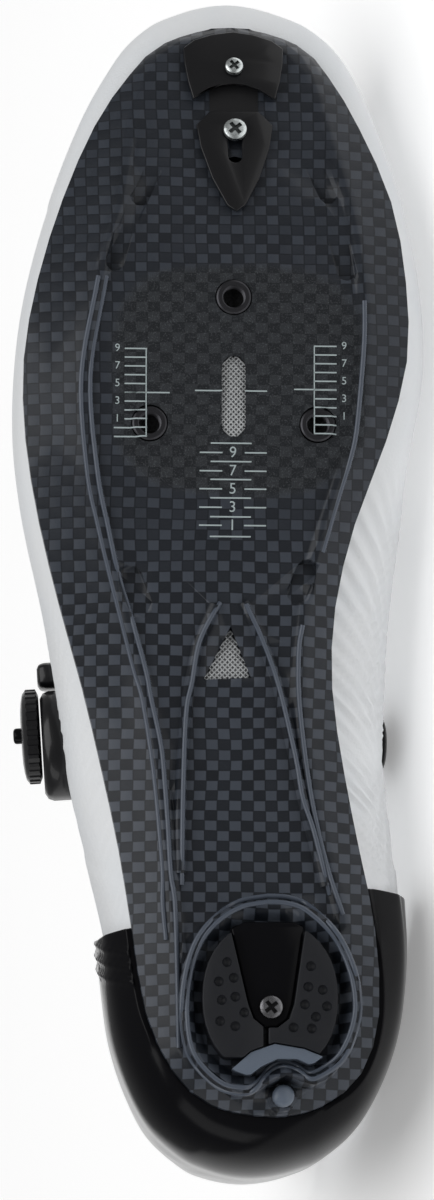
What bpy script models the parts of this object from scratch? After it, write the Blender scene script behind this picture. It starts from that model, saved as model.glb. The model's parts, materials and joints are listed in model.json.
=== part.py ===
"""A cycling shoe for the right foot, lying on its inner side.

It is modelled standing: +Y runs from heel to toe, +X to the outer side, +Z up from the ground, in metres.
At the end the whole shoe is laid on the side that carries its weight, with the origin under its middle.
"""

from collections import namedtuple
from math import atan, cos, exp, floor, pi, radians, sin

import bmesh
import bpy
from mathutils import Matrix, Vector
from mathutils.bvhtree import BVHTree

# The last
LENGTH = 0.280
BALL_WIDTH = 0.098
INSTEP_HEIGHT = 0.098
HEEL_HEIGHT = 0.097
HEEL_LIFT = 0.010
TOE_SPRING = 0.024
UPPER_WALL = 0.0022
CLEARANCE = 0.0003
CURVE_CLEARANCE = 0.0004

# The sole
SOLE_THICKNESS = 0.0045
RIM_THICKNESS = 0.0025
RIM_LIFT = 0.0035
RIM_SHOWING = 0.0012
RIM_SHELF = 0.0045
DISH_REACH = 0.012
RAIL_WIDTH = 0.0022
RAIL_SLOPE = 0.0008
RAIL_HEIGHT = 0.0010
POCKET_DEPTH = 0.0012
INSOLE_THICKNESS = 0.0035
INSOLE_INSET = 0.0048

# Cleat inserts, and the vent between them
CLEAT_X = -0.041 * BALL_WIDTH
CLEAT_FRONT_Y = 0.7379 * LENGTH
CLEAT_REAR_Y = 0.6293 * LENGTH
CLEAT_REAR_SPACING = 0.0399
INSERT_RADIUS = 0.0041
INSERT_BORE_RADIUS = 0.0028
INSERT_CHAMFER = 0.0003
INSERT_PROUD = 0.0004
BALL_VENT_Y = 0.6529 * LENGTH
BALL_VENT_LENGTH = 0.0195
BALL_VENT_WIDTH = 0.0057
MESH_THICKNESS = 0.0008

# The toe vent: its opening, the shutter with its slot, the plate with the shutter's bay, and their screws
TOE_X = -0.050 * BALL_WIDTH
TOE_VENT_Y = 0.8464 * LENGTH
TOE_VENT_WIDTH = 0.0080
TOE_VENT_LENGTH = 0.0110
VENT_TRAVEL = 0.005
SLIDER_FRONT_Y = 0.9061 * LENGTH
SLIDER_LENGTH = 0.0257
SLIDER_HALF_WIDTH = 0.0091
SLIDER_THICKNESS = 0.0016
SLIDER_GAP = 0.0006
TOE_PLATE_LENGTH = 0.0176
TOE_PLATE_HALF_WIDTH = 0.0119
TOE_PLATE_THICKNESS = 0.0020
TOE_PLATE_GAP = 0.0007
VENT_SCREW_SETBACK = 0.0055
SHANK_RADIUS = 0.0013
SLOT_CLEARANCE = 0.0004
SLOT_PLAY = 0.0010
VENT_SCREW_HEAD_RADIUS = 0.00285
PLATE_SCREW_SETBACK = 0.0104
PLATE_SCREW_HEAD_RADIUS = 0.0022
PLATE_SCREW_GAP = 0.0005
HEAD_HEIGHT = 0.0013

# The shank's vent and its two ridges
SHANK_VENT_Y = 0.429 * LENGTH
RIDGE_WIDTH = 0.0028
RIDGE_HEIGHT = 0.0014
RIDGE_ROOT = 0.0010

# The heel seat, and the wedge, pads, bridge, screw and pin in it
SEAT_X = -0.129 * BALL_WIDTH
SEAT_Y = 0.140 * LENGTH
SEAT_HALF_WIDTH = 0.0212
SEAT_HALF_LENGTH = 0.0235
SEAT_WALL = 0.0014
SEAT_SLOPE = 0.0026
SEAT_GROUND_GAP = 0.0020
SEAT_FLOOR = 0.0025
PAD_DEPTH = 0.0045
PAD_MARGIN = 0.0012
PAD_GROUND_GAP = 0.0010
PAD_SPLIT = 0.0010
WEDGE_SINK = 0.0012
BRIDGE_PROUD = 0.0004
HEEL_SCREW_RADIUS = 0.0028
HEEL_SCREW_HEIGHT = 0.0009
HEEL_SCREW_SETBACK = 0.0020
PIN_X = -0.163 * BALL_WIDTH
PIN_RADIUS = 0.0026
PIN_REACH = 0.0030
PIN_WALL_GAP = 0.0018
PIN_BOSS_HEIGHT = 0.0030
PIN_BOSS_MARGIN = 0.0008
PIN_DENT = 0.0052
PIN_DENT_WIDTH = 0.0052

# Counter, dial and lacing
COUNTER_WALL = 0.0018
COUNTER_GAP = 0.0008
COUNTER_START = 0.10
DIAL_Y = 0.3775 * LENGTH
DIAL_Z = 0.469 * INSTEP_HEIGHT
DIAL_BASE_RADIUS = 0.0133
DIAL_BASE_HEIGHT = 0.0056
DIAL_TILT = radians(3.5)
KNOB_FORWARD = 0.0028
KNOB_RADIUS = 0.0114
KNOB_HEIGHT = 0.0046
BUTTON_RADIUS = 0.0019
BUTTON_HEIGHT = 0.0016
OUTLET_HALF_WIDTH = 0.0055
OUTLET_HALF_LENGTH = 0.0032
OUTLET_HEIGHT = 0.0052
ANCHOR_Y = 0.3807 * LENGTH
ANCHOR_Z = 0.480 * INSTEP_HEIGHT
ANCHOR_RADIUS = 0.0076
ANCHOR_HEIGHT = 0.0030
WIRE_DIAMETER = 0.0012
WIRE_LIFT = 0.0008
GUIDE_HALF_LENGTH = 0.0065
GUIDE_HALF_WIDTH = 0.0042
GUIDE_HEIGHT = 0.0026
TONGUE_THICKNESS = 0.0030
TONGUE_ABOVE_THROAT = 0.024

# Sections of the sole from the heel (first) to the toe. along is the place along LENGTH. out, inn and the two
# margins are shares of BALL_WIDTH: distances of the outline from the middle line, and of the rails from the
# outline, on the outer and the inner side. rail is the share of the rails' height.
SoleSection = namedtuple("SoleSection", "along out inn margin_out margin_in rail")
SOLE_SECTIONS = [
    SoleSection(0.0455, -0.143, 0.143, 0.050, 0.050, 0),
    SoleSection(0.0550, 0.004, 0.264, 0.055, 0.055, 0),
    SoleSection(0.083, 0.096, 0.358, 0.065, 0.060, 0),
    SoleSection(0.133, 0.163, 0.400, 0.075, 0.060, 0.4),
    SoleSection(0.205, 0.197, 0.391, 0.085, 0.055, 1),
    SoleSection(0.273, 0.228, 0.354, 0.098, 0.066, 1),
    SoleSection(0.339, 0.268, 0.318, 0.118, 0.068, 1),
    SoleSection(0.411, 0.318, 0.288, 0.132, 0.062, 1),
    SoleSection(0.479, 0.374, 0.294, 0.132, 0.058, 1),
    SoleSection(0.548, 0.425, 0.339, 0.131, 0.058, 1),
    SoleSection(0.618, 0.460, 0.413, 0.129, 0.068, 1),
    SoleSection(0.686, 0.465, 0.463, 0.1275, 0.086, 1),
    SoleSection(0.755, 0.431, 0.462, 0.128, 0.086, 1),
    SoleSection(0.828, 0.368, 0.431, 0.122, 0.085, 1),
    SoleSection(0.895, 0.288, 0.358, 0.070, 0.070, 0.2),
    SoleSection(0.943, 0.200, 0.285, 0.038, 0.038, 0),
    SoleSection(0.973, 0.112, 0.208, 0.026, 0.026, 0),
    SoleSection(0.988, -0.048, 0.048, 0.020, 0.020, 0),
]

# Sections of the last, one for each of the sole's. wide is its widest line and edge its top edge, each with a
# place along LENGTH and distances from the middle line as shares of BALL_WIDTH. swell is the rise of the
# widest line over the sole's rim as a share of INSTEP_HEIGHT. edge_instep and edge_heel add up the top edge's
# height, as shares of INSTEP_HEIGHT and HEEL_HEIGHT. full and turn shape the wall between the two lines.
LastSection = namedtuple(
    "LastSection",
    "wide wide_out wide_in swell edge edge_out edge_in edge_instep edge_heel full_out full_in turn",
)
LAST_SECTIONS = [
    LastSection(0.0145, -0.107, 0.107, 0.19, 0.037, -0.093, 0.093, 0.00, 1.00, 2.0, 2.0, 42),
    LastSection(0.029, 0.048, 0.264, 0.19, 0.045, 0.002, 0.188, 0.00, 0.985, 2.0, 2.0, 42),
    LastSection(0.067, 0.152, 0.369, 0.19, 0.073, 0.088, 0.283, 0.00, 0.93, 2.0, 2.0, 42),
    LastSection(0.129, 0.218, 0.438, 0.19, 0.121, 0.150, 0.352, 0.00, 0.82, 2.0, 2.0, 45),
    LastSection(0.204, 0.245, 0.457, 0.19, 0.186, 0.179, 0.383, 0.00, 0.74, 2.0, 2.0, 50),
    LastSection(0.273, 0.291, 0.442, 0.18, 0.250, 0.184, 0.367, 0.00, 0.74, 1.9, 1.9, 56),
    LastSection(0.343, 0.338, 0.422, 0.17, 0.314, 0.179, 0.342, 0.40, 0.42, 1.75, 1.8, 60),
    LastSection(0.411, 0.366, 0.418, 0.16, 0.368, 0.158, 0.301, 0.93, 0.00, 1.65, 1.75, 64),
    LastSection(0.479, 0.404, 0.427, 0.15, 0.411, 0.119, 0.248, 0.985, 0.00, 1.6, 1.7, 66),
    LastSection(0.543, 0.451, 0.448, 0.14, 0.461, 0.097, 0.209, 0.91, 0.00, 1.55, 1.7, 68),
    LastSection(0.611, 0.482, 0.478, 0.14, 0.514, 0.086, 0.184, 0.82, 0.00, 1.55, 1.7, 70),
    LastSection(0.679, 0.483, 0.512, 0.14, 0.564, 0.080, 0.165, 0.745, 0.00, 1.6, 1.75, 72),
    LastSection(0.748, 0.458, 0.509, 0.14, 0.609, 0.073, 0.151, 0.69, 0.00, 1.75, 1.9, 74),
    LastSection(0.822, 0.403, 0.476, 0.125, 0.648, 0.064, 0.136, 0.65, 0.00, 1.9, 2.1, 76),
    LastSection(0.896, 0.327, 0.412, 0.11, 0.678, 0.048, 0.115, 0.625, 0.00, 2.15, 2.3, 78),
    LastSection(0.954, 0.242, 0.344, 0.10, 0.697, 0.024, 0.090, 0.61, 0.00, 2.35, 2.45, 80),
    LastSection(0.994, 0.141, 0.240, 0.09, 0.708, -0.002, 0.061, 0.602, 0.00, 2.5, 2.55, 80),
    LastSection(1.013, -0.045, 0.045, 0.07, 0.712, -0.032, 0.032, 0.60, 0.00, 2.6, 2.6, 80),
]
TOE = len(SOLE_SECTIONS) - 1
ROUND = 2 * TOE

# The underside's middle line: places along LENGTH, and the heights as shares of HEEL_LIFT and TOE_SPRING. The
# toe's ramp is straight where the shutter slides on it.
Ground = namedtuple("Ground", "along heel toe")
GROUND_LINE = [
    Ground(0.000, 1.15, 0.0),
    Ground(0.107, 1.00, 0.0),
    Ground(0.214, 1.05, 0.0),
    Ground(0.321, 1.20, 0.0),
    Ground(0.430, 1.00, 0.0),
    Ground(0.536, 0.50, 0.0),
    Ground(0.625, 0.10, 0.0),
    Ground(0.680, 0.00, 0.0),
    Ground(0.730, 0.00, 0.015),
    Ground(0.780, 0.00, 0.1235),
    Ground(0.825, 0.00, 0.2900),
    Ground(0.893, 0.00, 0.5416),
    Ground(0.957, 0.00, 0.7784),
    Ground(0.985, 0.00, 0.900),
    Ground(1.010, 0.00, 1.020),
]

# Where the wall's lower, outward part ends on its way up, and the direction in which it leaves the sole
UPPER_ROWS = 10
LOWER_SHARE = 0.22
LOWER_START = radians(35)

# Colour, roughness, metallic and kilograms per cubic metre
Finish = namedtuple("Finish", "colour roughness metallic density")
FINISHES = {
    "white_synthetic": Finish((0.90, 0.91, 0.92), 0.45, 0.0, 900),
    "carbon": Finish((0.020, 0.023, 0.028), 0.30, 0.0, 1100),
    "black_gloss": Finish((0.012, 0.012, 0.014), 0.12, 0.0, 1100),
    "black_matte": Finish((0.020, 0.020, 0.022), 0.55, 0.0, 1100),
    "black_rubber": Finish((0.018, 0.018, 0.020), 0.75, 0.0, 1200),
    "grey_plastic": Finish((0.24, 0.28, 0.33), 0.35, 0.0, 1100),
    "bright_steel": Finish((0.62, 0.63, 0.64), 0.28, 1.0, 7850),
    "dark_steel": Finish((0.05, 0.05, 0.055), 0.35, 1.0, 7850),
    "light_mesh": Finish((0.70, 0.72, 0.74), 0.80, 0.0, 300),
    "black_fabric": Finish((0.030, 0.030, 0.033), 0.90, 0.0, 300),
}


def clear_scene():
    for thing in list(bpy.data.objects):
        bpy.data.objects.remove(thing, do_unlink=True)


def finish(name):
    material = bpy.data.materials.get(name)
    if material:
        return material
    material = bpy.data.materials.new(name)
    material.use_nodes = True
    shader = material.node_tree.nodes["Principled BSDF"]
    look = FINISHES[name]
    shader.inputs["Base Color"].default_value = (*look.colour, 1)
    shader.inputs["Roughness"].default_value = look.roughness
    shader.inputs["Metallic"].default_value = look.metallic
    material.diffuse_color = (*look.colour, 1)
    return material


def piece(name, bm, finish_name, smooth_angle=40):
    """Make an object of a bmesh, with its faces turned outwards."""
    bmesh.ops.recalc_face_normals(bm, faces=bm.faces)
    mesh = bpy.data.meshes.new(name)
    bm.to_mesh(mesh)
    bm.free()
    mesh.materials.append(finish(finish_name))
    mesh.shade_smooth()
    mesh.set_sharp_from_angle(angle=radians(smooth_angle))
    thing = bpy.data.objects.new(name, mesh)
    bpy.context.scene.collection.objects.link(thing)
    return thing


def combine(body, tool, operation):
    """Cut a tool from a body, or join it on, and remove the tool."""
    change = body.modifiers.new("combine", "BOOLEAN")
    change.operation = operation
    change.object = tool
    graph = bpy.context.evaluated_depsgraph_get()
    mesh = bpy.data.meshes.new_from_object(body.evaluated_get(graph))
    body.modifiers.clear()
    body.data = mesh
    bpy.data.objects.remove(tool, do_unlink=True)


def lerp(a, b, share):
    return a + (b - a) * share


def spaced(start, end, steps):
    return [lerp(start, end, i / steps) for i in range(steps + 1)]


def both_sides(table, outer, inner, size):
    """One closed list of a column's values: heel to toe on the outer side, then back on the inner side."""
    out = [getattr(section, outer) * size for section in table]
    back = [getattr(section, inner) * size for section in table[-2:0:-1]]
    return out + back


def across(table, outer, inner):
    """The same for distances from the middle line, which count negative on the inner side."""
    values = both_sides(table, outer, inner, BALL_WIDTH)
    return values[: TOE + 1] + [-value for value in values[TOE + 1 :]]


def around(values, t):
    """A smooth closed curve through values, read at t sections from the heel."""
    i = floor(t)
    f = t - i
    a, b, c, d = (values[(i + k) % len(values)] for k in (-1, 0, 1, 2))
    return b + 0.5 * f * (c - a + f * (2 * a - 5 * b + 4 * c - d + f * (3 * (b - c) + d - a)))


SOLE_X = across(SOLE_SECTIONS, "out", "inn")
SOLE_Y = both_sides(SOLE_SECTIONS, "along", "along", LENGTH)
MARGIN = both_sides(SOLE_SECTIONS, "margin_out", "margin_in", BALL_WIDTH)
RAIL = both_sides(SOLE_SECTIONS, "rail", "rail", 1)
WIDE_X = across(LAST_SECTIONS, "wide_out", "wide_in")
WIDE_Y = both_sides(LAST_SECTIONS, "wide", "wide", LENGTH)
SWELL = both_sides(LAST_SECTIONS, "swell", "swell", INSTEP_HEIGHT)
EDGE_X = across(LAST_SECTIONS, "edge_out", "edge_in")
EDGE_Y = both_sides(LAST_SECTIONS, "edge", "edge", LENGTH)
EDGE_INSTEP_Z = both_sides(LAST_SECTIONS, "edge_instep", "edge_instep", INSTEP_HEIGHT)
EDGE_HEEL_Z = both_sides(LAST_SECTIONS, "edge_heel", "edge_heel", HEEL_HEIGHT)
EDGE_Z = [a + b for a, b in zip(EDGE_INSTEP_Z, EDGE_HEEL_Z)]
FULL = both_sides(LAST_SECTIONS, "full_out", "full_in", 1)
TURN = both_sides(LAST_SECTIONS, "turn", "turn", 1)


def stations(start, end):
    """Half steps between two sections, and quarter steps round the heel and the toe."""
    quarters = [i / 4 for i in range(round(4 * start), round(4 * end) + 1)]
    return [t for t in quarters if t % 0.5 == 0 or min(t % TOE, -t % TOE) < 1]


def ground(y):
    """Height of the underside's middle line: a monotone cubic through the rows of GROUND_LINE."""
    places = [row.along * LENGTH for row in GROUND_LINE]
    heights = [row.heel * HEEL_LIFT + row.toe * TOE_SPRING for row in GROUND_LINE]
    y = min(max(y, places[0]), places[-1])
    i = max(k for k in range(len(places) - 1) if places[k] <= y)
    spans = [b - a for a, b in zip(places, places[1:])]
    slopes = [(b - a) / span for a, b, span in zip(heights, heights[1:], spans)]

    def tangent(k):
        if k in (0, len(places) - 1):
            return slopes[min(k, len(slopes) - 1)]
        before, after = slopes[k - 1], slopes[k]
        return 0.0 if before * after <= 0 else 2 * before * after / (before + after)

    f = (y - places[i]) / spans[i]
    rise = heights[i + 1] - heights[i]
    start, end = tangent(i) * spans[i], tangent(i + 1) * spans[i]
    return heights[i] + start * f + (3 * rise - 2 * start - end) * f**2 + (start + end - 2 * rise) * f**3


def rim_top(t):
    """Height of the sole's upper rim."""
    return ground(around(SOLE_Y, t)) + RIM_LIFT + RIM_THICKNESS


def inset_outline(t, distance):
    """A point of the sole's outline, moved inwards."""
    step = 0.02
    along = Vector(
        (
            around(SOLE_X, t + step) - around(SOLE_X, t - step),
            around(SOLE_Y, t + step) - around(SOLE_Y, t - step),
        )
    ).normalized()
    return Vector((around(SOLE_X, t) - along.y * distance, around(SOLE_Y, t) + along.x * distance))


def skin(t, v):
    """The upper's outer surface: t runs round the shoe, v from the sole (0) to the top edge (1)."""
    start = inset_outline(t, RIM_SHOWING)
    foot = Vector((start.x, start.y, rim_top(t) + CLEARANCE))
    wide = Vector((around(WIDE_X, t), around(WIDE_Y, t), rim_top(t) + around(SWELL, t)))
    edge = Vector((around(EDGE_X, t), around(EDGE_Y, t), around(EDGE_Z, t)))
    if v < LOWER_SHARE:
        angle = lerp(LOWER_START, pi / 2, v / LOWER_SHARE)
        level = (sin(angle) - sin(LOWER_START)) / (1 - sin(LOWER_START))
        upright = 1 - cos(angle) / cos(LOWER_START)
        a, b = foot, wide
    else:
        power = 2 / around(FULL, t)
        turn = radians(around(TURN, t))
        angle = max(turn * (v - LOWER_SHARE) / (1 - LOWER_SHARE), 0)
        level = (1 - cos(angle) ** power) / (1 - cos(turn) ** power)
        upright = (sin(angle) / sin(turn)) ** power
        a, b = wide, edge
    return Vector((lerp(a.x, b.x, level), lerp(a.y, b.y, level), lerp(a.z, b.z, upright)))


def skin_normal(t, v):
    step = 0.02
    low, high = max(v - step, 0), min(v + step, 1)
    along = skin(t + step, v) - skin(t - step, v)
    upwards = skin(t, high) - skin(t, low)
    return along.cross(upwards).normalized()


def off_skin(t, v, distance):
    return skin(t, v) + skin_normal(t, v) * distance


def quads(bm, rows, closed=False):
    """Faces between neighbouring rows of vertices. A row may be a single vertex."""
    pairs = list(zip(rows, rows[1:] + rows[:1])) if closed else list(zip(rows, rows[1:]))
    for a, b in pairs:
        for i in range(max(len(a), len(b)) - 1):
            corners = [row[min(k, len(row) - 1)] for row, k in ((a, i), (a, i + 1), (b, i + 1), (b, i))]
            bm.faces.new(list(dict.fromkeys(corners)))


def shell(name, finish_name, places, columns, inside, outside, ring=False):
    """A wall between two sheets. Each sheet has a column of points, given by its distance, at each place."""
    bm = bmesh.new()
    outer, inner = (
        [[bm.verts.new(p) for p in columns(t, distance)] for t in places] for distance in (outside, inside)
    )
    quads(bm, outer, ring)
    quads(bm, inner, ring)
    for end in (0, -1):
        quads(bm, [[a[end], b[end]] for a, b in zip(outer, inner)], ring)
    if not ring:
        for end in (0, -1):
            quads(bm, [outer[end], inner[end]])
    return piece(name, bm, finish_name)


def make_upper():
    def column(t, distance):
        return [off_skin(t, v, distance) for v in spaced(0, 1, UPPER_ROWS)]

    return shell("upper", "white_synthetic", stations(0, ROUND)[:-1], column, -UPPER_WALL, 0, ring=True)


OUTLINE = [Vector((around(SOLE_X, i / 4), around(SOLE_Y, i / 4))) for i in range(4 * ROUND)]


def from_outline(x, y):
    """Distance of a point from the sole's outline."""
    point = Vector((x, y))
    nearest = LENGTH
    for a, b in zip(OUTLINE, OUTLINE[1:] + OUTLINE[:1]):
        line = b - a
        share = min(max((point - a).dot(line) / line.length_squared, 0), 1)
        nearest = min(nearest, (point - a - line * share).length)
    return nearest


def rim_lift(x, y, margin):
    """How far the margin outside the rails is drawn up."""
    return RIM_LIFT * (1 - min(from_outline(x, y) / margin, 1)) ** 1.3


def sole_top(x, y):
    """Upper surface of the sole: a flat shelf at the rim, and a shallow dish inside it."""
    share = min(max((from_outline(x, y) - RIM_SHELF) / (DISH_REACH - RIM_SHELF), 0), 1)
    share = share * share * (3 - 2 * share)
    return ground(y) + lerp(RIM_LIFT + RIM_THICKNESS, SOLE_THICKNESS, share)


def underside_row(t):
    """Points across the underside at one section: rim, margin, rail, middle, rail, margin, rim."""
    y = around(SOLE_Y, t)
    out_x, in_x = around(SOLE_X, t), around(SOLE_X, ROUND - t)
    half = (out_x - in_x) / 2
    row = []
    for x, side, margin, height in (
        (out_x, -1, around(MARGIN, t), around(RAIL, t)),
        (in_x, 1, around(MARGIN, ROUND - t), around(RAIL, ROUND - t)),
    ):
        rail_span = RAIL_WIDTH + 2 * RAIL_SLOPE
        start = min(margin, half - 1.2 * rail_span)
        places = [0, start / 2, start, start + RAIL_SLOPE, start + RAIL_SLOPE + RAIL_WIDTH, start + rail_span]
        drops = [0, 0, 0, 1, 1, 0]
        points = []
        for place, drop in zip(places, drops):
            px = x + side * place
            lift = RIM_LIFT if place == 0 else rim_lift(px, y, max(start, RAIL_SLOPE))
            points.append(Vector((px, y, ground(y) + lift - drop * max(height, 0) * RAIL_HEIGHT)))
        row.append(points)
    outer, inner = row
    middle = [outer[-1].lerp(inner[-1], share) for share in (0.25, 0.5, 0.75)]
    margin = min((around(MARGIN, t) + around(MARGIN, ROUND - t)) / 2, half)
    for point in middle:
        point.z = ground(y) + rim_lift(point.x, y, margin)
    return outer + middle + inner[::-1]


def top_row(t):
    """Points across the sole's upper surface at one section."""
    y = around(SOLE_Y, t)
    out_x, in_x = around(SOLE_X, t), around(SOLE_X, ROUND - t)
    half = (out_x - in_x) / 2
    reaches = (RIM_SHELF, 0.4), ((RIM_SHELF + DISH_REACH) / 2, 0.6), (DISH_REACH, 0.75)
    steps = [min(reach, half * share) for reach, share in reaches]
    places = [out_x - step for step in steps] + [(out_x + in_x) / 2] + [in_x + step for step in steps[::-1]]
    rim = ground(y) + RIM_LIFT + RIM_THICKNESS
    inside = [Vector((x, y, sole_top(x, y))) for x in places]
    return [Vector((out_x, y, rim))] + inside + [Vector((in_x, y, rim))]


def slab(name, finish_name, bottom_rows, top_rows):
    """A closed solid between two sheets of rows, joined round their edges. End rows may be single points."""
    bm = bmesh.new()
    bottom = [[bm.verts.new(p) for p in row] for row in bottom_rows]
    top = [[bm.verts.new(p) for p in row] for row in top_rows]
    quads(bm, bottom)
    quads(bm, top)
    for end in (0, -1):
        quads(bm, [[a[end], b[end]] for a, b in zip(bottom, top)])
    for end in (0, -1):
        if len(bottom[end]) > 1:
            quads(bm, [bottom[end], top[end]])
    return piece(name, bm, finish_name)


def stack(name, finish_name, levels):
    """A solid of outlines at rising heights: levels is (outline, height) pairs."""
    bm = bmesh.new()
    rings = [[bm.verts.new((x, y, height)) for x, y in outline] for outline, height in levels]
    quads(bm, [ring + ring[:1] for ring in rings])
    for ring in (rings[0], rings[-1]):
        bm.faces.new(ring)
    return piece(name, bm, finish_name)


def plate(name, finish_name, outline, low, high):
    """A flat prism of an outline between two heights."""
    return stack(name, finish_name, [(outline, low), (outline, high)])


def disc(x, y, radius, segments=24):
    angles = [2 * pi * i / segments for i in range(segments)]
    return [(x + radius * cos(angle), y + radius * sin(angle)) for angle in angles]


def stadium(x, y, width, length, segments=6):
    """A slot's outline, long along Y."""
    radius, reach = width / 2, (length - width) / 2
    front = [(x + radius * cos(a), y + reach + radius * sin(a)) for a in spaced(0, pi, segments)]
    back = [(x + radius * cos(a), y - reach + radius * sin(a)) for a in spaced(pi, 2 * pi, segments)]
    return front + back


def turned(name, finish_name, profile, frame, segments=24):
    """A turned piece: profile is (radius, height) pairs that start and end on the axis."""
    bm = bmesh.new()
    verts = [bm.verts.new((radius, 0, height)) for radius, height in profile]
    edges = [bm.edges.new(pair) for pair in zip(verts, verts[1:])]
    bmesh.ops.spin(
        bm, geom=verts + edges, cent=(0, 0, 0), axis=(0, 0, 1), angle=2 * pi, steps=segments, use_merge=True
    )
    bmesh.ops.remove_doubles(bm, verts=bm.verts, dist=1e-6)
    bmesh.ops.transform(bm, matrix=frame, verts=bm.verts)
    return piece(name, bm, finish_name, smooth_angle=35)


def framed(point, axis, along=(0, 1, 0)):
    """A frame at a point, with Z along an axis and Y as near as can be to another direction."""
    z = Vector(axis).normalized()
    x = Vector(along).cross(z).normalized()
    y = z.cross(x)
    return Matrix.Translation(point) @ Matrix((x, y, z)).transposed().to_4x4()


def tree_of(*things):
    """What rays are dropped onto."""
    verts, faces = [], []
    for thing in things:
        base = len(verts)
        verts += [v.co.copy() for v in thing.data.vertices]
        faces += [[base + i for i in face.vertices] for face in thing.data.polygons]
    return BVHTree.FromPolygons(verts, faces)


def dropped(tree, origin, direction):
    """Where a ray meets the tree, or None."""
    hit = tree.ray_cast(origin, Vector(direction).normalized())
    return hit[0]


def under_sole(name, finish_name, outline, tree, gap, thickness, middle=None):
    """A plate that follows the sole's underside: its outline is dropped onto the sole from below."""
    bm = bmesh.new()
    ring = [bm.verts.new((x, y, 0)) for x, y in outline]
    if middle:
        hub = bm.verts.new((*middle, 0))
        inner = [bm.verts.new(v.co.lerp(hub.co, 0.5)) for v in ring]
        quads(bm, [ring + ring[:1], inner + inner[:1], [hub]])
    else:
        bm.faces.new(ring)
    upper_verts = list(bm.verts)
    extruded = bmesh.ops.extrude_face_region(bm, geom=list(bm.faces))
    lower_verts = [v for v in extruded["geom"] if isinstance(v, bmesh.types.BMVert)]
    for verts, depth in ((upper_verts, gap), (lower_verts, gap + thickness)):
        for v in verts:
            below = Vector((v.co.x, v.co.y, -LENGTH))
            v.co.z = dropped(tree, below, (0, 0, 1)).z - depth
    return piece(name, bm, finish_name)


def rail_strip(name, path, width, height, root):
    """A raised strip along a path on the underside, rooted in the sole."""
    bm = bmesh.new()
    rows = []
    for i, (x, y) in enumerate(path):
        ahead = Vector(path[min(i + 1, len(path) - 1)])
        behind = Vector(path[max(i - 1, 0)])
        side = (ahead - behind).normalized()
        side = Vector((-side.y, side.x, 0)) * width / 2
        level = ground(y)
        centre = Vector((x, y, 0))
        narrow = side * 0.45
        rows.append(
            [
                centre - side + Vector((0, 0, level + root)),
                centre - side + Vector((0, 0, level - 0.0001)),
                centre - narrow + Vector((0, 0, level - height)),
                centre + narrow + Vector((0, 0, level - height)),
                centre + side + Vector((0, 0, level - 0.0001)),
                centre + side + Vector((0, 0, level + root)),
            ]
        )
    loops = [[bm.verts.new(p) for p in row] for row in rows]
    for a, b in zip(loops, loops[1:]):
        for i in range(len(a)):
            j = (i + 1) % len(a)
            bm.faces.new((a[i], a[j], b[j], b[i]))
    bm.faces.new(loops[0])
    bm.faces.new(loops[-1])
    return piece(name, bm, "carbon")


# Places on the underside: shares of BALL_WIDTH across and of LENGTH along
Place = namedtuple("Place", "across along")
SHANK_VENT = [Place(-0.039, 0.4607), Place(-0.090, 0.4171), Place(0.026, 0.4154)]
SHANK_RIDGE_OUT = [
    Place(0.000, 0.4780),
    Place(0.042, 0.4440),
    Place(0.066, 0.3982),
    Place(0.080, 0.3339),
    Place(0.082, 0.2500),
]
SHANK_RIDGE_IN = [
    Place(-0.070, 0.4800),
    Place(-0.112, 0.4520),
    Place(-0.150, 0.4180),
    Place(-0.192, 0.3536),
    Place(-0.230, 0.2929),
    Place(-0.270, 0.2400),
]

# Pockets moulded beside the rails: the middle's place, the width and length, and the turn in degrees
Pocket = namedtuple("Pocket", "across along width length turn")
POCKETS = [
    Pocket(0.166, 0.8396, 0.0042, 0.0120, 24),
    Pocket(0.236, 0.7807, 0.0046, 0.0120, 16),
    Pocket(0.193, 0.4886, 0.0060, 0.0130, -20),
    Pocket(-0.259, 0.8432, 0.0042, 0.0120, -24),
    Pocket(-0.306, 0.7743, 0.0046, 0.0120, -14),
    Pocket(-0.210, 0.4986, 0.0050, 0.0110, 22),
]


def on_sole(places):
    return [(place.across * BALL_WIDTH, place.along * LENGTH) for place in places]


def through(outline):
    """A cutter for a hole right through the sole, or a flat piece."""
    return plate("cutter", "carbon", outline, -HEEL_HEIGHT / 2, HEEL_HEIGHT / 2)


def pocket_cutter(pocket):
    x, y = on_sole([pocket])[0]
    turn = Matrix.Rotation(radians(pocket.turn), 2)
    points = [turn @ Vector(p) for p in stadium(0, 0, pocket.width, pocket.length, 4)]
    level = ground(y)
    outline = [(x + p.x, y + p.y) for p in points]
    return plate("cutter", "carbon", outline, level - 2 * SOLE_THICKNESS, level + POCKET_DEPTH)


def superellipse(half_x, half_y, power, segments):
    """Points round a rounded rectangle about the origin. A power of 2 makes an ellipse."""
    points = []
    for i in range(segments):
        c, s = cos(2 * pi * i / segments), sin(2 * pi * i / segments)
        x, y = abs(c) ** (2 / power), abs(s) ** (2 / power)
        points.append((half_x * (x if c >= 0 else -x), half_y * (y if s >= 0 else -y)))
    return points


def pin_dent(x):
    """How far the seat's rim bends inwards round the pin."""
    return PIN_DENT * exp(-(((x - PIN_X) / PIN_DENT_WIDTH) ** 2))


def seat_outline(inset):
    """The heel seat's oval, bent inwards behind the bridge."""
    points = []
    for x, y in superellipse(SEAT_HALF_WIDTH - inset, SEAT_HALF_LENGTH - inset, 2.2, 40):
        share = min(max(-y / SEAT_HALF_LENGTH, 0), 1)
        points.append((SEAT_X + x, SEAT_Y + y + pin_dent(SEAT_X + x) * share))
    return points


PIN_Y = SEAT_Y - SEAT_HALF_LENGTH + PIN_DENT - PIN_WALL_GAP - PIN_RADIUS


INSERTS = {
    "cleat_insert_front": (CLEAT_X, CLEAT_FRONT_Y),
    "cleat_insert_outer": (CLEAT_X + CLEAT_REAR_SPACING / 2, CLEAT_REAR_Y),
    "cleat_insert_inner": (CLEAT_X - CLEAT_REAR_SPACING / 2, CLEAT_REAR_Y),
}


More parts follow.
